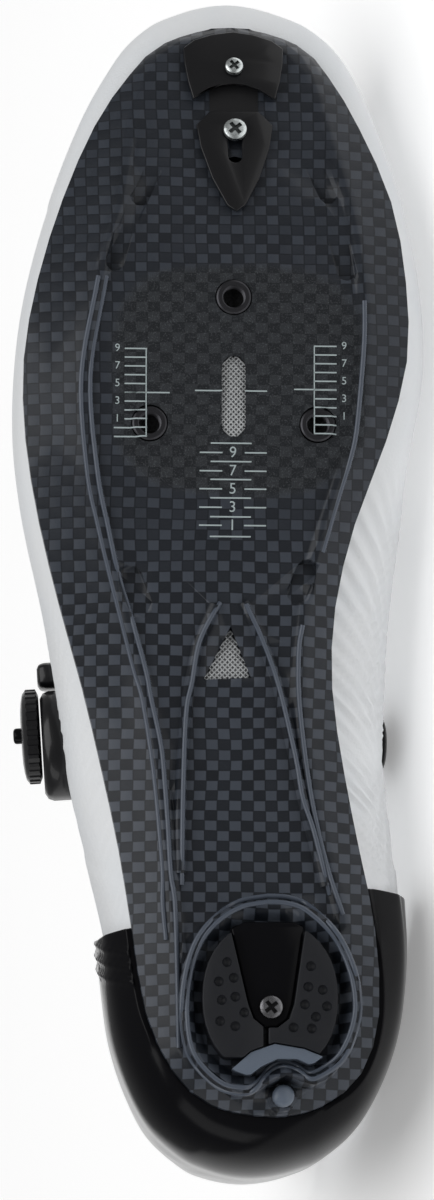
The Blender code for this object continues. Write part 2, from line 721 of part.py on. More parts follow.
def grown(outline, distance):
    """An outline moved outwards by a distance."""
    points = [Vector(p) for p in outline]
    area = sum(a.x * b.y - b.x * a.y for a, b in zip(points, points[1:] + points[:1]))
    sign = 1 if area > 0 else -1
    result = []
    for i, p in enumerate(points):
        before = (p - points[i - 1]).normalized()
        after = (points[(i + 1) % len(points)] - p).normalized()
        normals = [Vector((d.y, -d.x)) * sign for d in (before, after)]
        bisector = (normals[0] + normals[1]).normalized()
        result.append(tuple(p + bisector * distance / max(bisector.dot(normals[0]), 0.5)))
    return result


def make_outsole():
    """Make the sole, and return its plain surface, without the seat, ridges and holes."""
    heel = Vector((around(SOLE_X, 0), around(SOLE_Y, 0), 0))
    toe = Vector((around(SOLE_X, TOE), around(SOLE_Y, TOE), 0))
    thick = Vector((0, 0, RIM_THICKNESS))
    ends = [p + Vector((0, 0, ground(p.y) + RIM_LIFT)) for p in (heel, toe)]
    places = stations(0, TOE)[1:-1]
    bottom = [[ends[0]]] + [underside_row(t) for t in places] + [[ends[1]]]
    top = [[ends[0] + thick]] + [top_row(t) for t in places] + [[ends[1] + thick]]
    sole = slab("outsole", "carbon", bottom, top)
    plain = tree_of(sole)

    low, floor_level = SEAT_GROUND_GAP, SEAT_GROUND_GAP + PAD_DEPTH
    rooted = ground(SEAT_Y) + SOLE_THICKNESS / 2
    combine(sole, plate("tool", "carbon", seat_outline(0), low, rooted), "UNION")
    boss = disc(PIN_X, PIN_Y, PIN_RADIUS + PIN_BOSS_MARGIN, 16)
    combine(sole, plate("tool", "carbon", boss, ground(PIN_Y) - PIN_BOSS_HEIGHT, rooted), "UNION")
    for path in (SHANK_RIDGE_OUT, SHANK_RIDGE_IN):
        combine(sole, rail_strip("tool", on_sole(path), RIDGE_WIDTH, RIDGE_HEIGHT, RIDGE_ROOT), "UNION")
    brim, base = seat_outline(SEAT_WALL), seat_outline(SEAT_WALL + SEAT_SLOPE)
    recess = stack("tool", "carbon", [(brim, low - PAD_DEPTH), (brim, low), (base, floor_level)])
    combine(sole, recess, "DIFFERENCE")
    inside = seat_outline(SEAT_WALL + SEAT_FLOOR)
    combine(sole, plate("tool", "carbon", inside, floor_level + SEAT_FLOOR, HEEL_HEIGHT / 2), "DIFFERENCE")
    for x, y in INSERTS.values():
        combine(sole, through(disc(x, y, INSERT_RADIUS + CLEARANCE)), "DIFFERENCE")
    ball_vent = stadium(CLEAT_X, BALL_VENT_Y, BALL_VENT_WIDTH, BALL_VENT_LENGTH)
    toe_vent = stadium(TOE_X, TOE_VENT_Y, TOE_VENT_WIDTH, TOE_VENT_LENGTH)
    for outline in (ball_vent, on_sole(SHANK_VENT), toe_vent):
        combine(sole, through(outline), "DIFFERENCE")
    for pocket in POCKETS:
        combine(sole, pocket_cutter(pocket), "DIFFERENCE")
    return plain


def make_insole(sole_tree):
    """The insole lies in the sole's dish. Its columns follow the dish's own."""

    def inset_x(t, y):
        """Where a section's line is INSOLE_INSET inside the outline, on the side of t."""
        edge, middle = around(SOLE_X, t), (around(SOLE_X, t) + around(SOLE_X, ROUND - t)) / 2
        for _ in range(20):
            half_way = (edge + middle) / 2
            if from_outline(half_way, y) < INSOLE_INSET:
                edge = half_way
            else:
                middle = half_way
        return middle

    def row(t):
        y = around(SOLE_Y, t)
        out_x, in_x = inset_x(t, y), inset_x(ROUND - t, y)
        places = [out_x] + [p.x for p in top_row(t)[2:-2]] + [in_x]
        for i in range(1, len(places) - 1):
            if not in_x + CLEARANCE < places[i] < out_x - CLEARANCE:
                places[i] = lerp(out_x, in_x, i / (len(places) - 1))
        places.sort(reverse=True)
        above = [Vector((x, y, HEEL_HEIGHT)) for x in places]
        return [dropped(sole_tree, p, (0, 0, -1)) + Vector((0, 0, CURVE_CLEARANCE)) for p in above]

    places = [1.2] + [i / 2 for i in range(3, 2 * TOE - 2)] + [TOE - 1.2]
    bottom = [row(t) for t in places]
    up = Vector((0, 0, INSOLE_THICKNESS))
    top = [[p + up for p in points] for points in bottom]
    return slab("insole", "black_fabric", bottom, top)


TONGUE_START = 8.5
TONGUE_END = 16
# The tongue's free end over the collar, from its tip down: shares of TONGUE_ABOVE_THROAT and of its width
TongueRow = namedtuple("TongueRow", "above width")
TONGUE_ROWS = [TongueRow(1.0, 0.58), TongueRow(0.62, 0.70), TongueRow(0.25, 0.66)]
TONGUE_CURL = 0.0007


def make_tongue():
    """The tongue lies under the throat's edges, bulges a little between them and stands above the collar."""
    inside = -(UPPER_WALL + 1.5 * CURVE_CLEARANCE)
    rows = []
    for t in [TONGUE_START + i / 2 for i in range(round(2 * (TONGUE_END - TONGUE_START)) + 1)]:
        reach = 0.5 if t == TONGUE_START else 1
        under = [1 - reach * k / UPPER_ROWS for k in (0, 1, 2)]
        outer = [off_skin(t, v, inside) for v in under[::-1]]
        inner = [off_skin(ROUND - t, v, inside) for v in under]
        crown = (outer[-1] - inner[0]).length * 0.10 + 2 * CURVE_CLEARANCE
        middle = (outer[-1] + inner[0]) / 2
        rise = skin_normal(t, 1) + skin_normal(ROUND - t, 1)
        rows.append(outer + [middle + rise.normalized() * crown] + inner)
    first = rows[0]
    centre = len(first) // 2
    middle = first[centre]
    away = (middle - rows[1][centre]).normalized()
    lean = (away + Vector((0, 0, 1.6))).normalized()
    above = []
    for free in TONGUE_ROWS:
        shift = lean * TONGUE_ABOVE_THROAT * free.above
        points = []
        for i, p in enumerate(first):
            width = free.width * (0.9 if abs(i - centre) == centre else 1)
            point = middle + (p - middle) * width + shift
            point.z = middle.z + shift.z - abs(i - centre) ** 1.5 * TONGUE_CURL
            points.append(point)
        above.append(points)
    rows = above + rows
    bottom = []
    for i, row in enumerate(rows):
        slope = (rows[min(i + 1, len(rows) - 1)][centre] - rows[max(i - 1, 0)][centre]).normalized()
        normal = Vector((1, 0, 0)).cross(slope).normalized()
        normal = normal if normal.z > 0 else -normal
        bottom.append([p - normal * TONGUE_THICKNESS for p in row])
    return slab("tongue", "black_fabric", bottom, rows)


# The heel cup's front ends on the inner and the outer side, and its height at the back and at those ends, as
# shares of the way from the sole to the top edge
COUNTER_INNER_END = -4.5
COUNTER_OUTER_END = 4
COUNTER_HIGH = 0.90
COUNTER_LOW = 0.27
COUNTER_ROWS = 6


def make_counter():
    """The heel cup stands on the sole's rim and follows the upper."""

    def column(t, distance):
        high = lerp(COUNTER_HIGH, COUNTER_LOW, abs(t / COUNTER_INNER_END) ** 1.3)
        foot = inset_outline(t, RIM_SHOWING - distance)
        foot = Vector((foot.x, foot.y, rim_top(t) + CLEARANCE))
        return [foot] + [off_skin(t, v, distance) for v in spaced(COUNTER_START, high, COUNTER_ROWS)]

    places = stations(COUNTER_INNER_END, COUNTER_OUTER_END)
    return shell("heel_counter", "black_gloss", places, column, COUNTER_GAP, COUNTER_GAP + COUNTER_WALL)


def puck(name, finish_name, frame, half, profile, tree, segments=24, squareness=2.0):
    """A rounded block on a curved surface: its underside is dropped onto the surface along its own axis.

    profile is (share of the half sizes, height over the frame) pairs from the side to the middle.
    """
    bm = bmesh.new()
    axis = frame.to_3x3() @ Vector((0, 0, 1))

    def circle(share):
        return superellipse(half[0] * share, half[1] * share, squareness, segments)

    def seated(x, y):
        return dropped(tree, frame @ Vector((x, y, max(half) * 2)), -axis) + axis * CURVE_CLEARANCE

    rings = [[bm.verts.new(seated(0, 0))]]
    rings += [[bm.verts.new(seated(x, y)) for x, y in circle(share)] for share in (0.33, 0.66, 1.0)]
    for share, height in profile[:-1]:
        rings.append([bm.verts.new(frame @ Vector((x, y, height))) for x, y in circle(share)])
    rings.append([bm.verts.new(frame @ Vector((0, 0, profile[-1][1])))])
    quads(bm, [ring + ring[:1] if len(ring) > 1 else ring for ring in rings])
    return piece(name, bm, finish_name)


# Half outlines as shares: across of the half width, along of the length. The shutter's runs from its front
# back to its point, and the plate's from the middle of its rim round to the middle of its rear edge, past the
# corner that the shutter's front comes up to.
Share = namedtuple("Share", "across along")
SLIDER_SHAPE = [
    Share(0.64, 0.0),
    Share(1.0, 0.137),
    Share(0.90, 0.360),
    Share(0.615, 0.670),
    Share(0.242, 0.935),
    Share(0.0, 1.0),
]
TOE_PLATE_SHAPE = [
    Share(0.0, 0.0),
    Share(0.42, 0.045),
    Share(0.78, 0.130),
    Share(1.0, 0.250),
    Share(0.985, 0.480),
    Share(0.92, 0.740),
    Share(0.82, 1.0),
    Share(0.50, 0.855),
    Share(0.25, 0.795),
    Share(0.0, 0.775),
]
BAY_CORNER = TOE_PLATE_SHAPE[-3]


def mirrored(shape, x, front, half_width, length):
    """A whole outline from half of it, ahead of a place on the middle line at x."""
    half = [(share.across * half_width, front - share.along * length) for share in shape]
    return [(x + a, y) for a, y in half] + [(x - a, y) for a, y in half[::-1] if a > 0]


def make_toe_vent(tree):
    """The shutter, the plate with a bay that it slides into, and their screws."""
    outline = mirrored(SLIDER_SHAPE, TOE_X, SLIDER_FRONT_Y, SLIDER_HALF_WIDTH, SLIDER_LENGTH)
    slider = under_sole("vent_slider", "black_gloss", outline, tree, CLEARANCE, SLIDER_THICKNESS)
    screw_y = SLIDER_FRONT_Y - VENT_SCREW_SETBACK
    slot_width = 2 * (SHANK_RADIUS + SLOT_CLEARANCE)
    slot_length = VENT_TRAVEL + 2 * SLOT_PLAY + slot_width
    combine(slider, through(stadium(TOE_X, screw_y - VENT_TRAVEL / 2, slot_width, slot_length)), "DIFFERENCE")

    bay = SLIDER_FRONT_Y + VENT_TRAVEL + SLIDER_GAP
    front = bay + BAY_CORNER.along * TOE_PLATE_LENGTH
    outline = mirrored(TOE_PLATE_SHAPE, TOE_X, front, TOE_PLATE_HALF_WIDTH, TOE_PLATE_LENGTH)
    plate_screw_y = front - PLATE_SCREW_SETBACK
    middle = (TOE_X, plate_screw_y)
    under_sole("toe_plate", "black_gloss", outline, tree, TOE_PLATE_GAP, TOE_PLATE_THICKNESS, middle)

    ramp = atan((ground(SLIDER_FRONT_Y) - ground(screw_y)) / VENT_SCREW_SETBACK)
    down = Vector((0, sin(ramp), -cos(ramp)))

    def screw(name, y, head_radius, depth, shank):
        frame = framed(Vector((TOE_X, y, ground(y))) + down * depth, down)
        profile = [(0, -shank), (SHANK_RADIUS, -shank), (SHANK_RADIUS, 0)] if shank else [(0, 0)]
        profile += [(head_radius, 0), (head_radius, HEAD_HEIGHT * 0.6), (head_radius * 0.8, HEAD_HEIGHT)]
        turned(name, "bright_steel", profile + [(0, HEAD_HEIGHT)], frame, 16)

    under_slider = CLEARANCE + SLIDER_THICKNESS
    screw("vent_screw", screw_y, VENT_SCREW_HEAD_RADIUS, under_slider + CLEARANCE, under_slider)
    under_plate = TOE_PLATE_GAP + TOE_PLATE_THICKNESS
    screw("toe_plate_screw", plate_screw_y, PLATE_SCREW_HEAD_RADIUS, under_plate + PLATE_SCREW_GAP, 0)


def make_inserts():
    depth = INSERT_PROUD + SOLE_THICKNESS * 0.8
    profile = [
        (INSERT_BORE_RADIUS, -depth),
        (INSERT_RADIUS, -depth),
        (INSERT_RADIUS, -INSERT_CHAMFER),
        (INSERT_RADIUS - INSERT_CHAMFER, 0),
        (INSERT_BORE_RADIUS, 0),
    ]
    for name, (x, y) in INSERTS.items():
        bm = bmesh.new()
        rings = []
        for radius, height in profile:
            rings.append([bm.verts.new((*point, height)) for point in disc(0, 0, radius, 16)])
        quads(bm, [ring + ring[:1] for ring in rings], closed=True)
        face = Vector((x, y, ground(y) - INSERT_PROUD))
        bmesh.ops.transform(bm, matrix=framed(face, (0, 0, -1)), verts=bm.verts)
        piece(name, bm, "dark_steel")


def make_meshes():
    """Flat panels that fill the two vents, held a clearance from their edges."""

    def panel(name, outline, y):
        level = ground(y) + SOLE_THICKNESS * 0.35
        plate(name, "light_mesh", outline, level, level + MESH_THICKNESS)

    width, length = BALL_VENT_WIDTH - 2 * CLEARANCE, BALL_VENT_LENGTH - 2 * CLEARANCE
    panel("ball_mesh", stadium(CLEAT_X, BALL_VENT_Y, width, length), BALL_VENT_Y)
    panel("shank_mesh", grown(on_sole(SHANK_VENT), -CLEARANCE), SHANK_VENT_Y)


# Outlines in the heel seat, as shares of SEAT_HALF_WIDTH and SEAT_HALF_LENGTH from its middle
WEDGE = [
    Share(0.450, 0.780),
    Share(-0.390, 0.780),
    Share(-0.255, -0.050),
    Share(-0.200, -0.200),
    Share(-0.080, -0.285),
    Share(0.060, -0.285),
    Share(0.175, -0.200),
    Share(0.235, -0.050),
]
BRIDGE = [
    Share(0.430, -0.720),
    Share(0.210, -0.545),
    Share(-0.050, -0.460),
    Share(-0.380, -0.510),
    Share(-0.600, -0.590),
    Share(-0.500, -0.690),
    Share(-0.300, -0.610),
    Share(-0.080, -0.610),
    Share(0.100, -0.690),
    Share(0.280, -0.815),
]


def in_seat(shape):
    return [(SEAT_X + p.across * SEAT_HALF_WIDTH, SEAT_Y + p.along * SEAT_HALF_LENGTH) for p in shape]


def band(x0, x1, y0, y1):
    """A rectangle's outline."""
    return [(x0, y0), (x1, y0), (x1, y1), (x0, y1)]


def make_heel_pad():
    """Two pads either side of a wedge, and an arched bridge behind them, all in the heel seat."""
    top = SEAT_GROUND_GAP + PAD_DEPTH - CLEARANCE
    room = seat_outline(SEAT_WALL + SEAT_SLOPE + CLEARANCE)
    wedge, bridge = in_seat(WEDGE), in_seat(BRIDGE)
    wedge_face = SEAT_GROUND_GAP + WEDGE_SINK
    for body in (
        plate("heel_wedge", "black_matte", wedge, wedge_face, top),
        plate("heel_bridge", "grey_plastic", bridge, SEAT_GROUND_GAP - BRIDGE_PROUD, top),
    ):
        combine(body, through(room), "INTERSECT")
    split = SEAT_X + PAD_SPLIT
    far = 2 * SEAT_HALF_LENGTH
    behind, front = SEAT_Y - 0.60 * SEAT_HALF_LENGTH, SEAT_Y + 0.72 * SEAT_HALF_LENGTH
    for name, side in (("heel_pad_outer", 1), ("heel_pad_inner", -1)):
        pad_outline = seat_outline(SEAT_WALL + SEAT_SLOPE + PAD_MARGIN)
        pad = plate(name, "black_rubber", pad_outline, PAD_GROUND_GAP, top)
        combine(pad, through(grown(wedge, CLEARANCE)), "DIFFERENCE")
        combine(pad, through(grown(bridge, CLEARANCE)), "DIFFERENCE")
        near_x, far_x = split + side * 2 * CLEARANCE, split - side * far
        across_band = (min(near_x, far_x), max(near_x, far_x))
        combine(pad, through(band(*across_band, SEAT_Y - far, SEAT_Y + far)), "DIFFERENCE")
        for ends in ((SEAT_Y - far, behind), (front, SEAT_Y + far)):
            combine(pad, through(band(SEAT_X - far, SEAT_X + far, *ends)), "DIFFERENCE")
    screw_seat = Vector((SEAT_X - CLEARANCE, SEAT_Y - HEEL_SCREW_SETBACK, wedge_face - CLEARANCE))
    radius, height = HEEL_SCREW_RADIUS, HEEL_SCREW_HEIGHT
    profile = [(0, 0), (radius, 0), (radius, height * 0.55), (radius * 0.8, height), (0, height)]
    turned("heel_screw", "dark_steel", profile, framed(screw_seat, (0, 0, -1)), 16)


def make_pin():
    """The round pin behind the seat, on its boss."""
    radius, height = PIN_RADIUS, PIN_REACH
    profile = [(0, 0), (radius, 0), (radius, height * 0.8), (radius * 0.7, height), (0, height)]
    pin_seat = Vector((PIN_X, PIN_Y, ground(PIN_Y) - PIN_BOSS_HEIGHT - CLEARANCE))
    turned("heel_pin", "grey_plastic", profile, framed(pin_seat, (0, 0, -1)), 16)


def make_dial(tree):
    """The dial on the outer quarter, and the wire's outlet ahead of it. Returns the outlet's frame."""
    seat = dropped(tree, Vector((BALL_WIDTH, DIAL_Y, DIAL_Z)), (-1, 0, 0))
    axis = Vector((cos(DIAL_TILT), -sin(DIAL_TILT), sin(DIAL_TILT)))
    frame = framed(seat, axis)
    height = DIAL_BASE_HEIGHT
    profile = [(1.0, height * 0.62), (0.96, height * 0.86), (0.86, height), (0.45, height), (0, height)]
    puck("dial_base", "black_matte", frame, (DIAL_BASE_RADIUS, DIAL_BASE_RADIUS), profile, tree, segments=20)
    knob_seat = frame @ Matrix.Translation((0, KNOB_FORWARD, height + CLEARANCE))
    r, h = KNOB_RADIUS, KNOB_HEIGHT
    profile = [(0, 0), (r * 0.86, 0), (r, h * 0.15), (r, h * 0.72), (r * 0.93, h * 0.86), (r * 0.55, h)]
    turned("dial_knob", "black_matte", profile + [(0, h)], knob_seat, 20)
    button_seat = knob_seat @ Matrix.Translation((0, 0, KNOB_HEIGHT + CLEARANCE))
    r, h = BUTTON_RADIUS, BUTTON_HEIGHT
    profile = [(0, 0), (r, 0), (r, h * 0.7), (r * 0.7, h), (0, h)]
    turned("dial_button", "black_matte", profile, button_seat, 16)

    outlet_y = DIAL_Y + DIAL_BASE_RADIUS + OUTLET_HALF_LENGTH + 2 * CLEARANCE
    seat = dropped(tree, Vector((BALL_WIDTH, outlet_y, DIAL_Z + WIRE_DIAMETER * 3)), (-1, 0, 0))
    outlet = framed(seat, axis)
    h = OUTLET_HEIGHT
    profile = [(1.0, h * 0.65), (0.9, h * 0.9), (0.6, h), (0, h)]
    half = (OUTLET_HALF_WIDTH, OUTLET_HALF_LENGTH)
    puck("dial_guide", "black_matte", outlet, half, profile, tree, 12, squareness=3.5)
    return outlet


def make_anchor(tree):
    """The low round cap on the inner quarter."""
    seat = dropped(tree, Vector((-BALL_WIDTH, ANCHOR_Y, ANCHOR_Z)), (1, 0, 0))
    frame = framed(seat, (-1, 0, 0.06))
    h = ANCHOR_HEIGHT
    profile = [(1.0, h * 0.42), (0.9, h * 0.68), (0.66, h * 0.90), (0.33, h * 0.98), (0, h)]
    puck("inner_anchor", "black_gloss", frame, (ANCHOR_RADIUS, ANCHOR_RADIUS), profile, tree, 16)


# The lace guides' places on the upper: the section, and the share of the way from the sole to the top edge
GuidePlace = namedtuple("GuidePlace", "section up")
GUIDE_PLACES = [GuidePlace(9.3, 0.90), GuidePlace(11.2, 0.90), GuidePlace(13.1, 0.90)]


def make_guides(tree):
    """Small hard guides at the throat's edges, which the wire turns in."""
    frames = {}
    h = GUIDE_HEIGHT
    profile = [(1.0, h * 0.6), (0.88, h * 0.88), (0.6, h), (0, h)]
    half = (GUIDE_HALF_WIDTH, GUIDE_HALF_LENGTH)
    for i, place in enumerate(GUIDE_PLACES, 1):
        for side, t in (("outer", place.section), ("inner", ROUND - place.section)):
            along = skin(t + 0.1, place.up) - skin(t - 0.1, place.up)
            frame = framed(skin(t, place.up), skin_normal(t, place.up), along)
            name = f"guide_{side}_{i}"
            puck(name, "black_matte", frame, half, profile, tree, 12, squareness=3.0)
            frames[name] = frame
    return frames


def hull_heights(points):
    """The heights of a taut line over obstacles: the upper hull of (place, height) points."""
    hull = []
    for p in points:
        while len(hull) > 1:
            (x1, y1), (x2, y2) = hull[-2:]
            if (y2 - y1) * (p[0] - x1) <= (p[1] - y1) * (x2 - x1):
                hull.pop()
            else:
                break
        hull.append(p)

    def at(place):
        for (x1, y1), (x2, y2) in zip(hull, hull[1:]):
            if x1 <= place <= x2:
                return lerp(y1, y2, (place - x1) / (x2 - x1))
        return hull[-1][1]

    return at


def wire_bar(name, start, end, start_gap, end_gap, tree):
    """A stretch of wire pulled taut over the shoe between two guides."""
    a, b = start.to_translation(), end.to_translation()
    up = (start.to_3x3() @ Vector((0, 0, 1)) + end.to_3x3() @ Vector((0, 0, 1))).normalized()
    span = (b - a).length
    steps = 24
    heights = []
    for i in range(steps + 1):
        share = i / steps
        base = a.lerp(b, share)
        hit = dropped(tree, base + up * BALL_WIDTH, -up)
        heights.append((share, (hit - base).dot(up)))
    taut = hull_heights(heights)
    lift = WIRE_LIFT + WIRE_DIAMETER / 2
    low, high = start_gap / span, 1 - end_gap / span
    count = max(6, round(span / 0.005))
    curve = bpy.data.curves.new(name, "CURVE")
    curve.dimensions = "3D"
    curve.bevel_depth = WIRE_DIAMETER / 2
    curve.bevel_resolution = 1
    curve.use_fill_caps = True
    spline = curve.splines.new("POLY")
    spline.points.add(count)
    for point, share in zip(spline.points, spaced(low, high, count)):
        point.co = (*(a.lerp(b, share) + up * (taut(share) + lift)), 1)
    curve.materials.append(finish("dark_steel"))
    thing = bpy.data.objects.new(name, curve)
    bpy.context.scene.collection.objects.link(thing)


def make_wires(frames, outlet, tree):
    reach = GUIDE_HALF_WIDTH + CLEARANCE * 2
    for i in range(1, len(GUIDE_PLACES) + 1):
        wire_bar(f"lace_bar_{i}", frames[f"guide_outer_{i}"], frames[f"guide_inner_{i}"], reach, reach, tree)
    to_outlet = OUTLET_HALF_WIDTH + 4 * CLEARANCE
    wire_bar("lace_lead", outlet, frames["guide_outer_1"], to_outlet, reach + GUIDE_HEIGHT, tree)


def world_points(things):
    graph = bpy.context.evaluated_depsgraph_get()
    points = []
    for thing in things:
        seen = thing.evaluated_get(graph)
        mesh = seen.to_mesh()
        points += [thing.matrix_world @ v.co for v in mesh.vertices]
        seen.to_mesh_clear()
    return points


def weight_centre(things):
    """Centre of mass, from each piece's volume and density."""
    graph = bpy.context.evaluated_depsgraph_get()
    total, moment = 0.0, Vector()
    for thing in things:
        seen = thing.evaluated_get(graph)
        mesh = seen.to_mesh()
        mesh.calc_loop_triangles()
        density = FINISHES[thing.data.materials[0].name].density
        for triangle in mesh.loop_triangles:
            a, b, c = (mesh.vertices[i].co for i in triangle.vertices)
            volume = a.dot(b.cross(c)) / 6
            total += volume * density
            moment += (a + b + c) / 4 * volume * density
        seen.to_mesh_clear()
    return moment / total


def resting_face(points, centre, side):
    """The hull's face that the shoe lies on, with its sole turned up a little.

    It is the steadiest of those on one side that the weight falls inside.
    """
    bm = bmesh.new()
    for p in points:
        bm.verts.new(p)
    bmesh.ops.convex_hull(bm, input=bm.verts, use_existing_faces=False)
    steadiest, down = 0, side
    for face in bm.faces:
        face.normal_update()
        if face.normal.dot(side) < 0.6 or face.normal.z < 0:
            continue
        corners = [v.co for v in face.verts]
        foot = centre + face.normal * (corners[0] - centre).dot(face.normal)
        sides = zip(corners, corners[1:] + corners[:1])
        margin = min((q - p).normalized().cross(foot - p).dot(face.normal) for p, q in sides)
        if margin > steadiest:
            steadiest, down = margin, face.normal.copy()
    bm.free()
    return down


def lay_down(things):
    """Lay the shoe on its inner side, toe along +Y, with the origin under the middle of its box."""
    points = world_points(things)
    down = resting_face(points, weight_centre(things), Vector((-1, 0, 0)))
    toe = Vector((0, 1, 0))
    toe = (toe - down * toe.dot(down)).normalized()
    up = -down
    right = toe.cross(up)
    turn = Matrix((right, toe, up)).to_4x4()
    moved = [turn @ p for p in points]
    low = [min(p[i] for p in moved) for i in range(3)]
    high = [max(p[i] for p in moved) for i in range(3)]
    shift = Vector((-(low[0] + high[0]) / 2, -(low[1] + high[1]) / 2, -low[2]))
    stand = bpy.data.objects.new("shoe", None)
    bpy.context.scene.collection.objects.link(stand)
    stand.matrix_world = Matrix.Translation(shift) @ turn
    for thing in things:
        thing.parent = stand
    return stand


def main():
    clear_scene()
    upper = make_upper()
    plain_sole = make_outsole()
    make_insole(plain_sole)
    tongue = make_tongue()
    make_counter()
    make_toe_vent(plain_sole)
    make_inserts()
    make_meshes()
    make_heel_pad()
    make_pin()
    on_upper = tree_of(upper)
    outlet = make_dial(on_upper)
    make_anchor(on_upper)
    frames = make_guides(on_upper)
    make_wires(frames, outlet, tree_of(upper, tongue))
    things = [thing for thing in bpy.context.scene.objects if thing.type in {"MESH", "CURVE"}]
    lay_down(things)


main()
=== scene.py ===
"""The looks of a road cycling shoe for the right foot, lying on its inner side with its sole to the camera.

Shapes are worked out in the standing shoe's own axes: +X to the outer side, +Y to the toe, +Z up.
"""

import json
from math import atan2, cos, pi, radians, sin

import bmesh
import bpy
from bpy.props import FloatProperty, FloatVectorProperty, IntProperty, PointerProperty
from mathutils import Matrix, Vector
from mathutils.bvhtree import BVHTree
from mathutils.kdtree import KDTree


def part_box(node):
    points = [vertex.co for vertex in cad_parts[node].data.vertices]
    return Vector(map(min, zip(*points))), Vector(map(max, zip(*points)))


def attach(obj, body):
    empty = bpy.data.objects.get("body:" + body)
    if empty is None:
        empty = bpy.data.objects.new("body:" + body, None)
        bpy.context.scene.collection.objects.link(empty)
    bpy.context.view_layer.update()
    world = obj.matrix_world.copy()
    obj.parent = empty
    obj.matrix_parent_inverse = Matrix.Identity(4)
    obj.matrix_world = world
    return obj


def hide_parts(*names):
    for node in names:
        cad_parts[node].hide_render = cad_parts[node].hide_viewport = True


bl_info = {
    "name": "Road Cycling Shoe",
    "version": (1, 0, 0),
    "blender": (4, 5, 0),
    "location": "3D View > Sidebar > Shoe",
    "description": "Dresses the packed solids of a road cycling shoe",
    "category": "Object",
}

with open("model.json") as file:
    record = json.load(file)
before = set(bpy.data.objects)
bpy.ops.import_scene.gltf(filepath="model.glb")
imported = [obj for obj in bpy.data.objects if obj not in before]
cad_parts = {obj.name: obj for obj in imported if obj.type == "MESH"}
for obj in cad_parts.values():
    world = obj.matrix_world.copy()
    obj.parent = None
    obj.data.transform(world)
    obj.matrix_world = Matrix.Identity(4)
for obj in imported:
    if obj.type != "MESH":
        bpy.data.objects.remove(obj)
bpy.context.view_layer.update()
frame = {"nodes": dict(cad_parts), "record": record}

BODY = "shoe"
VENT_BODY = "vent"
MM = 0.001
# Where the outer rear insert's mount point lies in the standing shoe
OUTER_INSERT_PLACE = (0.019282, 0.176204, 0.000487)


def shoe_axes():
    """The standing shoe's own axes in the row's frame, from the faces of the rear cleat inserts."""
    mounts = {mount["name"]: mount for mount in frame["record"]["mounts"]}
    outer, inner = (Vector(mounts[name]["pos_m"]) for name in ("cleat_outer", "cleat_inner"))
    x = (outer - inner).normalized()
    z = -Vector(mounts["cleat_outer"]["axis"]).normalized()
    y = z.cross(x).normalized()
    turn = Matrix((x, y, x.cross(y))).transposed()
    return Matrix.Translation(outer - turn @ Vector(OUTER_INSERT_PLACE)) @ turn.to_4x4()


SHOE = shoe_axes()
STAND = SHOE.inverted()


def colour_setting(name, description, default):
    return FloatVectorProperty(
        name=name, description=description, subtype="COLOR", size=3, min=0, max=1, default=default
    )


def length_setting(name, description, default, **limits):
    return FloatProperty(name=name, description=description, unit="LENGTH", default=default, **limits)


class ShoeColours(bpy.types.PropertyGroup):
    """Base colours, linear"""

    upper: colour_setting("Upper", "Smooth synthetic of the upper", (0.82, 0.835, 0.85))
    lining: colour_setting("Lining", "Knit inside the upper", (0.055, 0.058, 0.064))
    # The carbon's two square colours are painted shade and painted sheen of one black weave
    carbon_shaded_squares: colour_setting(
        "Carbon, dark squares", "Tows that run away from the light", (0.006, 0.008, 0.012)
    )
    carbon_lit_squares: colour_setting(
        "Carbon, light squares", "Tows that run across the light", (0.052, 0.061, 0.078)
    )
    marks: colour_setting("Scale marks", "Printed lines and numerals", (0.38, 0.44, 0.45))
    mesh: colour_setting("Vent mesh", "Woven mesh in the vents", (0.62, 0.64, 0.65))


class ShoeSizes(bpy.types.PropertyGroup):
    """Sizes of the worked detail"""

    weave: length_setting("Weave", "Width of a carbon tow", 0.00285, min=0.001, max=0.01)
    rib_pitch: length_setting("Rib pitch", "Distance between the upper's ribs along the shoe", 0.0041)
    rib_depth: length_setting("Rib depth", "Height of the upper's ribs", 0.00095)
    mark_width: length_setting("Mark width", "Width of a scale mark", 0.00034)
    mark_lift: length_setting("Mark lift", "Height of the print over the sole", 0.00007)
    stitch: length_setting("Stitch", "Length of one stitch", 0.0022)
    thread: length_setting("Thread", "Diameter of the sewing thread", 0.00055)
    edge: length_setting("Edge rounding", "Rounding of moulded edges", 0.0003)
    mesh_pitch: length_setting("Mesh pitch", "Distance between the vent mesh's strands", 0.00085)
    grip_teeth: IntProperty(
        name="Grip teeth", description="Teeth round the dial's knob", default=30, min=8, max=80
    )


class ShoeStage(bpy.types.PropertyGroup):
    """Camera, floor and light"""

    distance: length_setting("Camera distance", "From the sole to the camera", 3.5)
    frame_height: length_setting("Frame height", "What the image covers from top to bottom", 0.2835)
    floor: colour_setting("Floor", "Colour of the floor", (0.97, 0.97, 0.97))
    key: FloatProperty(name="Key light", description="Power of the large light", unit="POWER", default=19.0)
    glow: FloatProperty(name="Floor glow", description="Light from the floor itself", default=0.26, min=0)
    sky: FloatProperty(name="Sky", description="Strength of the light from all round", default=0.22, min=0)


# The view in the standing shoe's axes: towards the camera, to the image's right, and up the image
VIEW_BACK = Vector((0.0603, -0.1587, -0.986)).normalized()
VIEW_RIGHT = Vector((-0.998, 0.0, -0.061)).normalized()
VIEW_UP = VIEW_BACK.cross(VIEW_RIGHT).normalized()
VIEW_MIDDLE = Vector((0.0, 0.13375, 0.0))


def settings():
    scene = bpy.context.scene
    return scene.shoe_sizes, scene.shoe_colours, scene.shoe_stage


def lerp(a, b, share):
    return a + (b - a) * share


def ease(low, high, value):
    """0 below low, 1 above high, and a smooth rise between them."""
    share = min(max((value - low) / (high - low), 0), 1)
    return share * share * (3 - 2 * share)


def spaced(start, end, steps):
    return [lerp(start, end, i / steps) for i in range(steps + 1)]


# Shader maths


